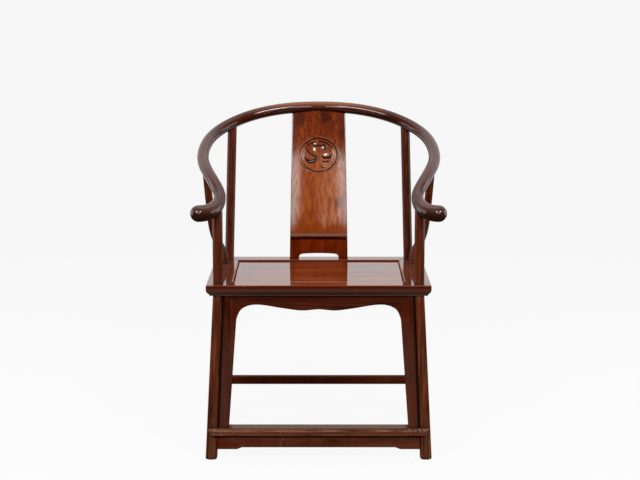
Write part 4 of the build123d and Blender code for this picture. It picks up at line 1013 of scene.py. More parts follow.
def rail_radius(sizes, crest, run):
    """Radius of the rail at a distance along it, swelling into the grips."""
    out = abs(run - crest.length / 2)
    t = min(max((out - (crest.length / 2 - sizes.grip_swell)) / sizes.grip_swell, 0.0), 1.0)
    return sizes.rail_radius + (sizes.grip_radius - sizes.rail_radius) * t * t * (3 - 2 * t)


def rail_piece(sizes, crest, start, end, start_part="whole", end_part="whole"):
    """One length of the rail between two distances from its middle, lapped at the ends it joins."""
    half = sizes.scarf_length / 2
    middle = crest.length / 2
    other = {"upper": "lower", "lower": "upper"}
    spots = []
    first, last = start, end
    if start_part != "whole":
        spots.append((start - half, start_part, "all"))
        spots += [(s, start_part, "") for s in np.linspace(start - half + SEAM, start + half, LAP_RINGS)]
        first = start + half
        spots.append((first, "whole", other[start_part]))
        first += SEAM
    if end_part != "whole":
        last = end - half - SEAM
    spots += [(s, "whole", "") for s in np.linspace(first, last, max(3, round((last - first) / RAIL_STEP)))]
    if end_part != "whole":
        spots.append((end - half, "whole", other[end_part]))
        spots += [(s, end_part, "") for s in np.linspace(end - half, end + half - SEAM, LAP_RINGS)]
        spots.append((end + half, end_part, "all"))
    rings = [
        round_section(crest, middle + s, rail_radius(sizes, crest, middle + s), sizes.rail_sides, part, pinch)
        for s, part, pinch in spots
    ]
    if end_part == "whole":
        # the grip ends in a dome
        tip = middle + end
        reach = rail_radius(sizes, crest, tip)
        for k in range(1, DOME_RINGS + 1):
            turn = math.pi / 2 * k / (DOME_RINGS + 0.5)
            rings.append(round_section(crest, tip + reach * math.sin(turn), reach * math.cos(turn), sizes.rail_sides))
    return tube(rings)


class CHAIR_OT_crest_rail(Operator):
    """Shape the crest rail: five lengths with lapped joints, their square keys and the two hand grips"""

    bl_idname = "chair.crest_rail"
    bl_label = "Crest rail"

    def execute(self, context):
        sizes, finish = context.scene.chair_sizes, context.scene.chair_finish
        crest = crest_path()
        half = crest.length / 2
        inner, outer = sizes.inner_scarf, sizes.outer_scarf
        shape = rail_piece(sizes, crest, -inner, inner, "lower", "lower")
        wood = frame_wood("rail_centre_wood", (1, 0, 0), 3, finish, tone=rail_tone, **RAIL_LOOK)
        add_piece("crest_rail_centre", shape, wood, 40)
        for name, start, end, parts, seed in (
            ("shoulder", inner, outer, ("upper", "lower"), 5),
            ("arm", outer, half, ("upper", "whole"), 11),
        ):
            chord = crest.where(half + end) - crest.where(half + start)
            for node, shape, sign in both_sides("crest_rail_{}_" + name, rail_piece(sizes, crest, start, end, *parts)):
                way = (chord[0] * sign, chord[1], chord[2])
                wood = frame_wood(node.removeprefix("crest_") + "_wood", way, seed + sign, finish, tone=rail_tone,
                                  **RAIL_LOOK)
                add_piece(node, shape, wood, 40)
        for name, run in (("inner", inner), ("outer", outer)):
            for node, shape, _ in both_sides("scarf_key_{}_" + name, self.key(sizes, crest, half + run)):
                wood = frame_wood(node.removeprefix("scarf_") + "_wood", (0, 0, 1), run * 90, finish)
                add_piece(node, shape, wood, 30)
        return {"FINISHED"}

    @staticmethod
    def key(sizes, crest, run):
        """Square key across the rail, standing a hair proud of it on both sides."""
        here = crest.where(run)
        across, up = crest.axes(run)
        way = crest.way(run)
        half = sizes.key_side / 2
        rings = []
        for share, shrink in ((-1, 0.86), (-0.99, 1), (0.99, 1), (1, 0.86)):
            ring = []
            for x, y in ((-1, -1), (1, -1), (1, 1), (-1, 1)):
                reach = sizes.rail_radius * share * 1.004
                ring.append(here + across * reach + way * half * x * shrink + up * half * y * shrink)
            rings.append(ring)
        return tube(rings)


class CHAIR_OT_side_posts(Operator):
    """Shape the two bent side posts under the arms"""

    bl_idname = "chair.side_posts"
    bl_label = "Side posts"

    def execute(self, context):
        sizes, finish = context.scene.chair_sizes, context.scene.chair_finish
        crest = crest_path()
        path = side_path(crest)
        end = path.length - sizes.rail_radius * 0.7
        rings = []
        for run in np.linspace(-0.004, end, 90):
            share = max(run, 0.0) / path.length
            radius = sizes.post_foot_radius + (sizes.post_top_radius - sizes.post_foot_radius) * share
            rings.append(round_section(path, run, radius, 28))
        for node, shape, sign in both_sides("{}_side_post", tube(rings)):
            wood = frame_wood(node + "_wood", (0.12 * sign, -0.1, 1), 17 + sign, finish, **POST_LOOK)
            add_piece(node, shape, wood, 40)
        return {"FINISHED"}


# ---------------------------------------------------------------- legs
POST_LOOK = {"shade": 0.8, "polish": 0.34, "streaks": 0.65, "wave": 0.5}


def cornered_ring(x, y, z, half, roundings, inset=0.0):
    """Points round a square section from its +X +Y corner on, each corner with its own rounding, in millimetres."""
    ring = []
    for quarter, rounding_here in enumerate(roundings):
        across, deep = ((1, 1), (-1, 1), (-1, -1), (1, -1))[quarter]
        radius = max(min(rounding_here, half) - inset, 0.4)
        reach = half - inset - radius
        for k in range(CORNER_POINTS):
            turn = math.pi / 2 * (quarter + (k + 0.5) / CORNER_POINTS)
            ring.append(((x + across * reach + radius * math.cos(turn)) * MM,
                         (y + deep * reach + radius * math.sin(turn)) * MM, z * MM))
    return ring


def leg_shape(foot, top, roundings, post, post_top):
    """Splayed right-hand leg from the floor to the seat, and its round post up to a point in the rail."""
    under = SEAT_UNDER / MM
    rings = []
    heights = list(FOOT_ROUND) + [(z, 0.0) for z in np.linspace(12.0, under, 12)]
    for z, inset in heights:
        share = z / under
        x, y = (a + (b - a) * share for a, b in zip(foot, top))
        rings.append(cornered_ring(x, y, z, (LEG_FOOT + (LEG_TOP - LEG_FOOT) * share) / 2, roundings, inset))
    low = np.array((top[0], top[1], under))
    high = np.array(post_top) / MM
    for share in np.linspace(0.003, 1.0 - 8.0 / np.linalg.norm(high - low), 12):
        x, y, z = low + (high - low) * share
        rings.append(cornered_ring(x, y, z, post, (post,) * 4))
    return tube(rings)


class CHAIR_OT_legs(Operator):
    """Shape the four legs, each one length from the floor to the crest rail: rounded outside, square inside"""

    bl_idname = "chair.legs"
    bl_label = "Legs"

    def execute(self, context):
        finish = context.scene.chair_finish
        crest = crest_path()
        half = crest.length / 2
        front, back = SEAT_FRONT / MM, SEAT_BACK / MM
        deep = (front + FRONT_LEG[1]) * MM
        front_top = (FRONT_LEG[0] * MM, deep, nearest(crest, np.linspace(half * 0.75, half, 600), 1, deep)[2])
        rear_top = nearest(crest, np.linspace(0, half * 0.45, 600), 0, SEAT_SIDE - REAR_POST_IN * MM)
        outer, side, inner = LEG_ROUND, LEG_SIDE_ROUND, LEG_INSIDE_ROUND
        for place, shape in (
            ("front", leg_shape((FRONT_FOOT[0], front + FRONT_FOOT[1]), (FRONT_LEG[0], front + FRONT_LEG[1]),
                                (side, inner, side, outer), FRONT_POST, front_top)),
            ("rear", leg_shape((REAR_FOOT[0], back - REAR_FOOT[1]), (REAR_LEG[0], back - REAR_LEG[1]),
                               (outer, side, inner, side), REAR_POST, rear_top)),
        ):
            for node, here, sign in both_sides("{}_" + place + "_leg", shape):
                seed = 21 + sign + (4 if place == "rear" else 0)
                wood = frame_wood(node + "_wood", (-0.03 * sign, 0.0, 1), seed, finish, tone=worn_foot, bare=dull_leg,
                                  **POST_LOOK)
                add_piece(node, here, wood, 35)
        return {"FINISHED"}


# ---------------------------------------------------------------- seat
def rail_moulding(width):
    """Section of a seat rail as (in from its outer face, up from its underside), in millimetres, clockwise."""
    high = (SEAT_TOP - SEAT_UNDER) / MM
    section = [(width, 2.0), (width, high - PANEL_ROUND)]
    section += [(width - PANEL_ROUND * (1 - math.cos(t)), high - PANEL_ROUND * (1 - math.sin(t)))
                for t in np.linspace(0.3, math.pi / 2, 4)]
    quirk = width - QUIRK_IN
    section += [(quirk + 0.7, high), (quirk + 0.45, high - 0.9), (quirk - 0.45, high - 0.9), (quirk - 0.7, high)]
    section += [(width * 0.66, high), (width * 0.33, high), (EDGE_ROUND + 3, high)]
    section += [(EDGE_ROUND * (1 - math.sin(t)), high - EDGE_ROUND * (1 - math.cos(t)))
                for t in np.linspace(0.0, math.pi / 2, 9)]
    section += [(inward, high - down) for inward, down in RAIL_FALL]
    return section + [*RAIL_BEAD, (width * 0.6, 0.0), (width - 2, 0.0)]


def seat_rail(half_long, width, mitre):
    """Rail along X with its outer face at y = 0, mitred at both ends; lengths in millimetres."""
    section = rail_moulding(width)
    rings = []
    for t in (-1, -BY_MITRE, -0.5, 0, 0.5, BY_MITRE, 1):
        ring = []
        for inward, up in section:
            end = half_long - max(inward, 0) * mitre / width
            reach = end if abs(t) == 1 else end - MITRE_EASE if abs(t) == BY_MITRE else end * abs(t)
            lower = MITRE_EASE if abs(t) == 1 and up > 1 else 0.0
            ring.append((math.copysign(reach, t) if t else 0.0, inward, up - lower))
        rings.append(ring)
    return tube(rings)


class CHAIR_OT_seat(Operator):
    """Shape the seat's mitred frame with its moulded edge and the floating panel; finish the battens under it"""

    bl_idname = "chair.seat"
    bl_label = "Seat"

    def execute(self, context):
        finish = context.scene.chair_finish
        wide, deep = SEAT_SIDE / MM, (SEAT_BACK - SEAT_FRONT) / MM
        front, rear, side = FRONT_MEMBER, REAR_MEMBER, SIDE_MEMBER
        turned = {
            "seat_front_rail": (seat_rail(wide, front, side), lambda x, y: (x, SEAT_FRONT / MM + y)),
            "seat_rear_rail": (seat_rail(wide, rear, side), lambda x, y: (-x, SEAT_BACK / MM - y)),
            "seat_left_rail": (self.side_rail(deep, side, front, rear), lambda x, y: (y - wide, SEAT_BACK / MM - x)),
            "seat_right_rail": (self.side_rail(deep, side, rear, front), lambda x, y: (wide - y, SEAT_FRONT / MM + x)),
        }
        for seed, (node, ((vertices, faces), place)) in enumerate(turned.items()):
            moved = []
            for x, y, z in vertices:
                px, py = place(x, y)
                moved.append((px * MM, py * MM, SEAT_UNDER + z * MM))
            along = (0, 1, 0) if "left" in node or "right" in node else (1, 0, 0)
            wood = seat_wood(node + "_wood", along, 31 + seed, finish, rough=0.3, smooth=0.5, wave=0.4, streaks=0.5,
                             crevice=0.0006, tone=seat_edge_tone, bare=dull_edge)
            add_piece(node, (moved, faces), wood, 32)
        self.panel(finish, wide - side, front, rear)
        for seed, node in enumerate(("left_panel_batten", "right_panel_batten")):
            dress(node, frame_wood(node + "_wood", (0, 1, 0), 37 + seed, finish, polish=0.3))
        return {"FINISHED"}

    @staticmethod
    def side_rail(deep, side, first, last):
        """Side rail along X from 0 to the seat's depth, with its outer face at y = 0 and a mitre for each neighbour."""
        vertices, faces = seat_rail(1.0, side, 0.0)
        moved = []
        for x, y, z in vertices:
            inward = max(y, 0) / side
            low, high = inward * first, deep - inward * last
            moved.append((low + (high - low) * (x + 1) / 2, y, z))
        return moved, faces

    @staticmethod
    def panel(finish, half_wide, front, rear):
        """Floating panel with softened edges and the slight waves of a hand-planed board."""
        top = SEAT_TOP / MM - PANEL_DROP
        x0, x1 = -half_wide + PANEL_SIDE_GAP, half_wide - PANEL_SIDE_GAP
        y0, y1 = SEAT_FRONT / MM + front + PANEL_END_GAP, SEAT_BACK / MM - rear - PANEL_END_GAP
        ease = np.array((0.0, 0.15, 0.5, 1.0))
        xs = np.concatenate((x0 + ease, np.linspace(x0 + 3, x1 - 3, 71), x1 - ease[::-1]))
        ys = np.concatenate((y0 + ease, np.linspace(y0 + 3, y1 - 3, 61), y1 - ease[::-1]))
        x, y = np.meshgrid(xs, ys)
        side = np.minimum(np.minimum(x - x0, x1 - x), np.minimum(y - y0, y1 - y))
        bend = (0.20 * np.sin(y / 13.0 + 1.1 * np.sin(x / 61.0)) + 0.16 * np.sin(y / 8.1 + 0.8 * np.sin(x / 37.0 + 2))
                + 0.22 * np.sin(y / 29.0 + x / 90.0 + 1)) * np.clip(side / 20, 0, 1)
        up = top + PANEL_RAISE - rounding(side, 1.0) + 0.3 * bend
        rows, columns = x.shape
        vertices = [(a * MM, b * MM, c * MM) for a, b, c in zip(x.flat, y.flat, up.flat)]
        faces = [(r * columns + c, r * columns + c + 1, (r + 1) * columns + c + 1, (r + 1) * columns + c)
                 for r in range(rows - 1) for c in range(columns - 1)]
        rim = ([(0, c) for c in range(columns)] + [(r, columns - 1) for r in range(1, rows)]
               + [(rows - 1, c) for c in range(columns - 2, -1, -1)] + [(r, 0) for r in range(rows - 2, 0, -1)])
        rim = [r * columns + c for r, c in rim]
        first = len(vertices)
        vertices += [(vertices[i][0], vertices[i][1], SEAT_TOP - (PANEL_DROP + PANEL_THICK) * MM) for i in rim]
        count = len(rim)
        faces += [(rim[i], first + i, first + (i + 1) % count, rim[(i + 1) % count]) for i in range(count)]
        faces.append(tuple(range(first, first + count))[::-1])
        wood = seat_wood("seat_panel_wood", (1, 0, 0), 36, finish, rough=0.28, smooth=0.4, wave=0.9, streaks=0.7,
                         crevice=0.0006, bare=worn_seat)
        add_piece("seat_panel", (vertices, faces), wood, 40)


class CHAIR_OT_aprons(Operator):
    """Finish the arched aprons and the strips inside the legs"""

    bl_idname = "chair.aprons"
    bl_label = "Aprons"

    def execute(self, context):
        finish = context.scene.chair_finish
        nodes = sorted(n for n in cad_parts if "apron" in n and n not in ("footrest_apron", "splat_foot_apron"))
        for seed, node in enumerate(nodes):
            along = (0, 0, 1) if "strip" in node else (0, 1, 0) if "side" in node else (1, 0, 0)
            tone = strip_tone if node.startswith("front_apron_") else apron_tone
            # shade=0.75 darkens these boards all over, partly as painted shade from the seat above them
            dress(node, frame_wood(node + "_wood", along, 41 + seed, finish, polish=0.36, shade=0.75, streaks=0.85,
                                   crevice=0.01, tone=tone))
        return {"FINISHED"}


class CHAIR_OT_low_frame(Operator):
    """Shape the footrest with its rubbed lip; finish its apron and the stretchers"""

    bl_idname = "chair.low_frame"
    bl_label = "Low frame"

    def execute(self, context):
        finish = context.scene.chair_finish
        wood = frame_wood("footrest_wood", (1, 0, 0), 61, finish, rough=0.42, polish=0.4, smooth=2.0, shade=1.1,
                          streaks=0.5, tone=footrest_tone)
        add_piece("footrest", self.footrest(), wood, 30)
        for seed, (node, along, tone) in enumerate((
            ("footrest_apron", (1, 0, 0), rest_apron_tone),
            ("rear_stretcher", (1, 0, 0), None),
            ("left_stretcher", (0, 1, 0), None),
            ("right_stretcher", (0, 1, 0), None),
        )):
            dress(node, frame_wood(node + "_wood", along, 62 + seed, finish, rough=0.42, polish=0.2, smooth=2.0,
                                   streaks=0.55, edge=0.002, crevice=0.012, tone=tone))
        return {"FINISHED"}

    @staticmethod
    def footrest():
        """Board with a lip that runs on before the legs and ends there at a slant."""
        def bend(y, z, radius, start):
            return [(y + radius * math.cos(t), z + radius * math.sin(t))
                    for t in np.linspace(start, start - math.pi / 2, 7)]

        front, back = REST_FRONT / MM, REST_BACK / MM
        low, top = REST_LOW / MM, REST_TOP / MM
        lip = front + REST_LIP
        under, over, behind = REST_UNDER_ROUND, REST_LIP_ROUND, REST_BACK_ROUND
        section = [(lip, low)] + bend(front + under, low + under, under, math.pi * 1.5)
        section += bend(front + over, top - over, over, math.pi) + [(lip, top)]
        cut = len(section)
        section += [(lip + 1.0, top)] + bend(back - behind, top - behind, behind, math.pi / 2)
        section += bend(back - behind, low + behind, behind, 0.0) + [(lip + 1.0, low)]
        vertices = []
        for sign in (-1, 1):
            for i, (y, z) in enumerate(section):
                end = REST_BEHIND
                if i < cut:
                    end = REST_END / MM - REST_SLANT * (y - front) / REST_LIP - REST_UNDERCUT * (top - z) / (top - low)
                vertices.append((sign * end * MM, y * MM, z * MM))
        count = len(section)
        faces = [((i + 1) % count, i, count + i, count + (i + 1) % count) for i in range(count)]
        caps = (tuple(range(cut)), (count - 1, 0, cut - 1, cut), tuple(range(cut, count)))
        faces += caps
        faces += [tuple(count + i for i in reversed(cap)) for cap in caps]
        return vertices, faces


def splat_face(up):
    """How far behind its foot the splat's face lies at a height above the seat, in millimetres."""
    lean = CREST_BACK + SPLAT_IN - SPLAT_THICK / 2
    return lean * (np.maximum(up, 0) / CREST_UP) ** 1.5


def stroke_reach(x, up, points):
    """Distance from each place to a stroke's middle line, as a share of its half width there, and in mm."""
    share = np.full(x.shape, 9.0)
    gap = np.full(x.shape, 99.0)
    stroke = smooth_stroke(np.array(points, float))
    for (x0, z0, r0), (x1, z1, r1) in zip(stroke, stroke[1:]):
        dx, dz = x1 - x0, z1 - z0
        t = np.clip(((x - x0) * dx + (up - z0) * dz) / (dx * dx + dz * dz), 0, 1)
        far = np.hypot(x - x0 - t * dx, up - z0 - t * dz)
        radius = r0 + (r1 - r0) * t
        share = np.minimum(share, far / radius)
        gap = np.minimum(gap, far - radius)
    return share, gap


def smooth_stroke(points):
    """A stroke's points with rounded turns between them."""
    if len(points) < 3:
        return points
    line = [points[0]]
    for i in range(len(points) - 1):
        p = points[max(i - 1, 0)], points[i], points[i + 1], points[min(i + 2, len(points) - 1)]
        for t in (0.25, 0.5, 0.75, 1.0):
            line.append(0.5 * (2 * p[1] + (p[2] - p[0]) * t + (2 * p[0] - 5 * p[1] + 4 * p[2] - p[3]) * t * t
                               + (3 * p[1] - p[0] - 3 * p[2] + p[3]) * t**3))
    return line


def oval(x, up, half):
    """A place's distance from the roundel's middle, as a share of an oval's half sizes."""
    return np.hypot(x / half[0], up / half[1])


def splat_width(up):
    """Width of the splat at a height above the seat, in millimetres."""
    return SPLAT_BOTTOM_W + (SPLAT_TOP_W - SPLAT_BOTTOM_W) * up / CREST_UP


def rounding(depth, radius):
    """How far a rounded edge falls back at a depth inside it."""
    inside = np.clip(depth, 0, radius)
    return radius - np.sqrt(radius**2 - (radius - inside) ** 2)


def outside_openings(x, up):
    """Distance outside the roundel's openings and the gap between the feet, in millimetres."""
    gap = np.maximum(np.abs(x) - FOOT_INNER, up - FOOT_TOP_UP)
    for stroke in PIERCED:
        gap = np.minimum(gap, stroke_reach(x, up - ROUNDEL_UP, stroke)[1])
    return gap


def roundel(x, up):
    """Height of the roundel's carving over the board, in millimetres."""
    ring = oval(x, up, RING_HALF)
    disc = oval(x, up, DISC_HALF)
    rim = (1 - disc) * DISC_RADIUS
    # a thin bead outside a groove, then the disc's rounded rim round a slightly sunk field
    height = BEAD_HIGH * np.sqrt(np.clip(1 - ((ring - 1.0) * RING_RADIUS / BEAD_HALF) ** 2, 0, 1))
    height[(ring < 1.0) & (disc > 1.0)] = -GROOVE_DEEP
    inside = disc <= 1.0
    fall = np.clip((rim - FIELD_IN) / FIELD_FALL, 0, 1)
    fall = fall * fall * (3 - 2 * fall)
    field = RIM_HIGH - FIELD_DEEP * fall - TROUGH_DEEP * np.clip(1 - ((rim - TROUGH_IN) / TROUGH_HALF) ** 2, 0, 1)
    field = field + FIELD_SWELL * np.clip(1 - disc**2, 0, 1) * fall
    height[inside] = np.minimum(RIM_HIGH - rounding(rim, RIM_ROUND), field)[inside]
    relief = np.zeros(x.shape)
    for tall, *stroke in LEAVES:
        share, _ = stroke_reach(x, up, stroke)
        relief = np.maximum(relief, tall * np.sqrt(np.clip(1 - share**2, 0, 1)))
    for deep, *stroke in HOLLOWS:
        share, _ = stroke_reach(x, up, stroke)
        cut = share < 1
        relief[cut] = np.minimum(relief, -deep * np.sqrt(np.clip(1.1 - share**2, 0, 1)))[cut]
    height[inside] += (relief * fall)[inside]
    return height


def shaded_cuts(x, up):
    """Where the roundel gets dark wood as painted shade: its deep hollows and the groove round its rim."""
    disc = oval(x, up, DISC_HALF)
    # the groove's painted shade runs all round but for its left side, which is left lit
    cut = (disc > 0.995) & (disc < 1.05) & ((0.6 * x - 0.8 * up > -4) | (up > 34))
    for _, *stroke in HOLLOWS:
        share, _ = stroke_reach(x, up, stroke)
        cut |= (share < 0.92) & (disc < 0.9)
    return cut


def highlit_bead(x, up):
    """Where the thin bead round the roundel gets its painted highlight."""
    ring = oval(x, up, RING_HALF)
    return np.abs(ring - 1.0) * RING_RADIUS < 1.3


# The woods on the splat's one piece (board, feet, hollows in dark painted shade, bead in a pale painted highlight), and
# half the width of its finely divided middle, in millimetres.
BOARD, FOOT, HOLLOW, BEAD = range(4)
FINE_HALF = 63


class CHAIR_OT_back_splat(Operator):
    """Shape the back splat, a bent board on two feet with a carved and pierced roundel, and the board between them"""

    bl_idname = "chair.back_splat"
    bl_label = "Back splat"

    def execute(self, context):
        sizes, finish = context.scene.chair_sizes, context.scene.chair_finish
        x, up = self.grid()
        gap = outside_openings(x, up)
        rows, columns = x.shape
        middles = (gap[:-1, :-1] + gap[1:, :-1] + gap[:-1, 1:] + gap[1:, 1:]) / 4
        kept = middles > 0
        # the openings' edges are drawn onto their outlines
        beside = np.zeros(x.shape, int)
        for dr, dc in ((0, 0), (0, 1), (1, 0), (1, 1)):
            beside[dr:rows - 1 + dr, dc:columns - 1 + dc] += kept
        whole = np.full(x.shape, 4)
        whole[[0, -1], :] = 2
        whole[:, [0, -1]] = 2
        whole[[0, 0, -1, -1], [0, -1, 0, -1]] = 1
        edge = (beside > 0) & (beside < whole)
        for _ in range(3):
            here = outside_openings(x, up)
            step = 0.02
            gx = (outside_openings(x + step, up) - here) / step
            gz = (outside_openings(x, up + step) - here) / step
            size = np.maximum(gx * gx + gz * gz, 0.25)
            x = np.where(edge, x - here * gx / size, x)
            up = np.where(edge, up - here * gz / size, up)
        base = SEAT_BACK - SPLAT_IN * MM
        places = [
            np.stack((x * MM, base + (splat_face(up) + depth) * MM, SEAT_TOP + up * MM), -1).reshape(-1, 3)
            for depth in (self.face(sizes, x, up), self.back(sizes, x, up))
        ]
        count = rows * columns
        faces = []
        walls = {}
        middle_x, middle_up = (grid[:-1, :-1] / 2 + grid[1:, 1:] / 2 for grid in (x, up - ROUNDEL_UP))
        cuts, bead = shaded_cuts(middle_x, middle_up), highlit_bead(middle_x, middle_up)
        woods = []
        for r, c in zip(*np.nonzero(kept)):
            a = int(r * columns + c)
            ring = (a, a + 1, a + columns + 1, a + columns)
            faces.append(ring)
            faces.append(tuple(i + count for i in reversed(ring)))
            # hollows and groove take the dark wood as painted shade, the bead the pale wood as painted highlight
            woods += [HOLLOW if cuts[r, c] else BEAD if bead[r, c] else BOARD, BOARD]
            for p, q in zip(ring, ring[1:] + ring[:1]):
                if walls.pop((q, p), None) is None:
                    walls[(p, q)] = True
        faces += [(q, p, p + count, q + count) for p, q in walls]
        woods += [BOARD] * len(walls)
        vertices = np.concatenate(places)
        used = np.unique(np.concatenate([np.array(f) for f in faces]))
        new = np.full(len(vertices), -1)
        new[used] = np.arange(len(used))
        faces = [tuple(int(new[i]) for i in f) for f in faces]
        wood = splat_wood("back_splat_wood", 71, finish, tone=splat_tone, crevice=0.005, streaks=0.6, wave=0.6,
                          bare=over_ledge)
        piece = add_piece("back_splat", (vertices[used], faces), wood, 42, "back_splat_carved")
        # the feet's wood, the hollows' dark wood (painted shade) and the bead's pale wood (painted highlight)
        for wood in (
            splat_wood("splat_foot_wood", 72, finish, polish=0.0, shade=0.5, streaks=0.5, crevice=0.009,
                       tone=under_ledge_shadow),
            splat_wood("splat_hollow_shade_wood", 74, finish, polish=0.6, shade=0.16, streaks=0.5),
            splat_wood("splat_bead_highlight_wood", 75, finish, streaks=0.4, crevice=0.0012, tone=bead_highlight_tone),
        ):
            piece.data.materials.append(wood)
        for face, wood in zip(piece.data.polygons, woods):
            face.material_index = FOOT if face.center.z < SEAT_TOP + (LEDGE_UP + 0.4) * MM else wood
        self.foot_board(finish)
        return {"FINISHED"}

    @staticmethod
    def foot_board(finish):
        """Board between the splat's feet, arched over the seat, with a softened lower edge."""
        arch = [(x, up) for x, up in KICK_ARCH] + [(-x, up) for x, up in reversed(KICK_ARCH[:-1])]
        face = SEAT_BACK / MM - SPLAT_IN + LEDGE_DEEP + KICK_SET_BACK
        vertices = []
        for depth, lift in ((0.0, 0.8), (0.3, 0.25), (0.8, 0.0), (KICK_THICK - 0.8, 0.0), (KICK_THICK, 0.8)):
            vertices += [(x * MM, (face + depth) * MM, SEAT_TOP + (up + lift) * MM) for x, up in arch]
            vertices += [(x * MM, (face + depth) * MM, SEAT_TOP + KICK_TOP_UP * MM) for x, _ in arch]
        count, layer = len(arch), 2 * len(arch)
        faces = []
        for k in range(4):
            a, b = k * layer, (k + 1) * layer
            faces += [(a + i, b + i, b + i + 1, a + i + 1) for i in range(count - 1)]
        last = 4 * layer
        for i in range(count - 1):
            faces.append((i, i + 1, count + i + 1, count + i))
            faces.append((last + i + 1, last + i, last + count + i, last + count + i + 1))
            faces.append((count + i, count + i + 1, last + count + i + 1, last + count + i))
        wood = splat_wood("splat_board_wood", 73, finish, polish=0.3, shade=0.7, streaks=0.5, crevice=0.009,
                          tone=under_ledge_shadow)
        add_piece("splat_foot_apron", (vertices, faces), wood, 40, "splat_foot_board_shaped")

    @staticmethod
    def grid():
        """Places on the board, close together at the roundel, the edges and the ledge."""
        ups = np.unique(np.round(np.concatenate((
            np.linspace(0, LEDGE_UP - 5, 22), np.arange(LEDGE_UP - 5, LEDGE_UP + 14, 0.5),
            np.linspace(LEDGE_UP + 14, ROUNDEL_UP - 56, 50), np.arange(ROUNDEL_UP - 55, ROUNDEL_UP + 55, 0.5),
            np.linspace(ROUNDEL_UP + 56, CREST_UP - 6, 26),
        )), 3))
        edge = SPLAT_BOTTOM_W / 2
        half = np.concatenate((np.arange(0, FINE_HALF + 0.2, 0.5), np.linspace(FINE_HALF + 1, edge - 2, 9),
                               edge - np.array((1.4, 0.9, 0.5, 0.2, 0.0))))
        across = np.concatenate((-half[:0:-1], half))
        x, up = np.meshgrid(across, ups)
        outer = np.clip((np.abs(x) - FINE_HALF) / (edge - FINE_HALF), 0, 1)
        return x - np.sign(x) * (edge - splat_width(up) / 2) * outer, up

    @staticmethod
    def face(sizes, x, up):
        """How far the front lies behind the board's plain face."""
        width = splat_width(up)
        side = width / 2 - np.abs(x)
        crown = sizes.splat_crown / MM
        fall = crown * np.abs(2 * x / width) ** 2.4 - crown * 0.3
        fall = fall + rounding(side, SPLAT_ROUND)
        # ledge: a slightly swollen lower edge, rounded under, over feet that are set back
        bead = LEDGE_BEAD * np.sqrt(np.clip(1 - ((up - LEDGE_UP - LEDGE_HALF) / LEDGE_HALF) ** 2, 0, 1))
        above = fall - bead + rounding(up - LEDGE_UP, LEDGE_ROUND)
        fall = np.where(up >= LEDGE_UP - 0.01, above, LEDGE_DEEP + rounding(side, SPLAT_FOOT_ROUND))
        return fall - roundel(x, up - ROUNDEL_UP) + rounding(outside_openings(x, up), OPENING_ROUND)

    @staticmethod
    def back(sizes, x, up):
        """How far the back lies behind the board's plain face."""
        return sizes.splat_thick / MM - rounding(splat_width(up) / 2 - np.abs(x), SPLAT_ROUND)


# ---------------------------------------------------------------- studio
# The paper, in metres: its half width, its height, and where along Y it begins, is joined and turns up.
PAPER_HALF, PAPER_HIGH = 9, 9
PAPER_NEAR, PAPER_JOIN, PAPER_FAR = -7, 0.6, 6.5
LAMP_TARGET = (0, 0, 0.6)


def paper_material(name, brightness, mirrored_in_polish):
    """White paper that the camera sees as bright, and the polish too behind the chair; it takes a faint shadow."""
    material = bpy.data.materials.new(name)
    n = new_tree(material)
    n.tree.nodes.remove(n.tree.nodes["Principled BSDF"])
    seen = n.add("ShaderNodeLightPath").outputs
    bright = n.most(seen["Is Camera Ray"], seen["Is Transmission Ray"])
    if mirrored_in_polish:
        bright = n.most(bright, seen["Is Glossy Ray"])
    fibre = n.noise(n.place, 40.0, 2.0, 0.5)
    shade = n.spread(fibre, 0.3, 0.7, 0.048, 0.052)
    tint = n.add("ShaderNodeCombineColor", {"Red": shade, "Green": shade, "Blue": shade}).outputs["Color"]
    paper = n.add("ShaderNodeBsdfDiffuse", {"Color": tint})
    glow = n.add("ShaderNodeEmission", {"Color": (1, 1, 1, 1), "Strength": n.times(bright, brightness - 0.04)})
    both = n.add("ShaderNodeAddShader", {0: paper.outputs[0], 1: glow.outputs[0]})
    n.give(n.tree.nodes["Material Output"], {"Surface": both.outputs[0]})
    return material


def softbox(name, place, width, height, power):
    """Rectangular lamp turned towards the chair."""
    lamp = bpy.data.lights.new(name, "AREA")
    lamp.shape = "RECTANGLE"
    lamp.size = width
    lamp.size_y = height
    lamp.energy = power
    add_thing(name, lamp, place, (Vector(LAMP_TARGET) - Vector(place)).to_track_quat("-Z", "Y").to_euler())


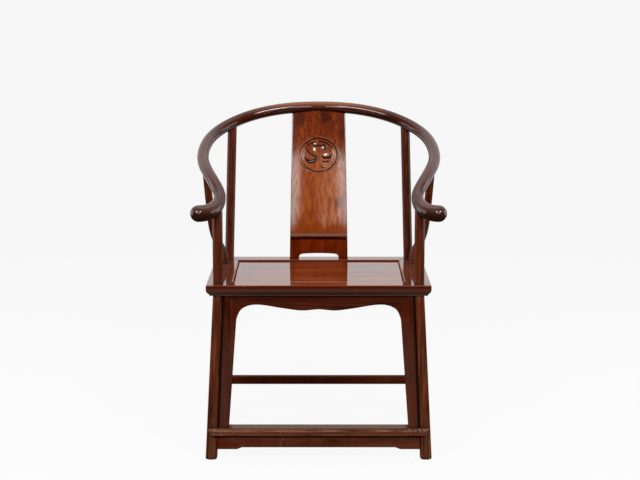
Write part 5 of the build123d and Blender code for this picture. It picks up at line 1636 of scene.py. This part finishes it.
class CHAIR_OT_stage(Operator):
    """Lay the paper, hang the lamps and set up the camera"""

    bl_idname = "chair.stage"
    bl_label = "Stage"

    def execute(self, context):
        scene, studio = context.scene, context.scene.chair_studio
        near = paper_material("near_paper", studio.paper, False)
        far = paper_material("far_paper", studio.paper, True)
        for name, first, last, paper in (
            ("near_floor", (PAPER_NEAR, 0), (PAPER_JOIN, 0), near),
            ("far_floor", (PAPER_JOIN, 0), (PAPER_FAR, 0), far),
            ("backdrop", (PAPER_FAR, 0), (PAPER_FAR, PAPER_HIGH), far),
        ):
            left, right = -PAPER_HALF, PAPER_HALF
            corners = [(left, *first), (right, *first), (right, *last), (left, *last)]
            add_mesh(name, (corners, [(0, 1, 2, 3)]), paper)
        self.world(scene)
        for name, place, width, height, power in (
            ("eye_lamp", (0, -4.75, 0.93), 0.14, 0.14, studio.eye_lamp),
            ("splat_left_lamp", (-1.0, -4.4, 2.2), 0.9, 1.9, studio.splat_lamp),
            ("splat_right_lamp", (1.0, -4.4, 2.2), 0.9, 1.9, studio.splat_lamp),
            ("front_left_lamp", (-1.65, -3.1, 2.95), 1.5, 1.1, studio.front_lamp),
            ("front_right_lamp", (1.65, -3.1, 2.95), 1.0, 0.8, studio.front_lamp),
            ("left_lamp", (-2.8, 0.2, 1.0), 2.2, 1.7, studio.side_lamp),
            ("right_lamp", (2.8, 0.2, 1.0), 2.2, 1.7, studio.side_lamp),
            ("top_lamp", (0, 0.3, 3.2), 2.4, 1.6, studio.top_lamp),
        ):
            softbox(name, place, width, height, power)
        camera = bpy.data.cameras.new("camera")
        camera.lens = studio.lens
        camera.sensor_width = 36.0
        camera.clip_end = 100.0
        scene.camera = add_thing("camera", camera, studio.camera_place, (math.pi / 2 - studio.camera_pitch, 0, 0))
        scene.view_settings.view_transform = "Standard"
        return {"FINISHED"}

    @staticmethod
    def world(scene):
        """Room round the paper: dim towards the camera's side, pale behind and above."""
        world = bpy.data.worlds.new("studio")
        scene.world = world
        n = new_tree(world)
        way = n.axes(n.add("ShaderNodeTexCoord").outputs["Generated"])
        behind = n.spread(way["Y"], -0.15, 0.6, 0.02, 0.9)
        above = n.spread(way["Z"], 0.2, 0.9, 0.0, 0.12)
        seen = n.add("ShaderNodeLightPath").outputs["Is Camera Ray"]
        # the camera sees white, as the paper
        light = n.times(n.most(n.sum(behind, above), seen), n.less(1.0, n.times(seen, 0.04)))
        n.give(n.tree.nodes["Background"], {"Color": (1, 1, 1, 1), "Strength": light})


# ---------------------------------------------------------------- panel and registration
STEPS = (
    CHAIR_OT_stage,
    CHAIR_OT_crest_rail,
    CHAIR_OT_side_posts,
    CHAIR_OT_legs,
    CHAIR_OT_seat,
    CHAIR_OT_back_splat,
    CHAIR_OT_aprons,
    CHAIR_OT_low_frame,
)


class CHAIR_PT_tools(Panel):
    """Lists the armchair's settings and the steps that build it"""

    bl_idname = "CHAIR_PT_tools"
    bl_label = "Armchair"
    bl_space_type = "VIEW_3D"
    bl_region_type = "UI"
    bl_category = "Armchair"

    def draw(self, context):
        for group in (context.scene.chair_sizes, context.scene.chair_finish, context.scene.chair_studio):
            box = self.layout.box()
            for name in group.__annotations__:
                box.prop(group, name)
        for step in STEPS:
            self.layout.operator(step.bl_idname)


CLASSES = (ChairSizes, ChairFinish, ChairStudio, *STEPS, CHAIR_PT_tools)


def register():
    """Add the settings, the steps and the panel."""
    for kind in CLASSES:
        bpy.utils.register_class(kind)
    bpy.types.Scene.chair_sizes = PointerProperty(type=ChairSizes)
    bpy.types.Scene.chair_finish = PointerProperty(type=ChairFinish)
    bpy.types.Scene.chair_studio = PointerProperty(type=ChairStudio)


def unregister():
    """Take them away again."""
    del bpy.types.Scene.chair_studio
    del bpy.types.Scene.chair_finish
    del bpy.types.Scene.chair_sizes
    for kind in reversed(CLASSES):
        bpy.utils.unregister_class(kind)


def main():
    """Build the whole chair and its studio."""
    register()
    for step in STEPS:
        group, name = step.bl_idname.split(".")
        getattr(getattr(bpy.ops, group), name)()


if __name__ == "__main__":
    main()
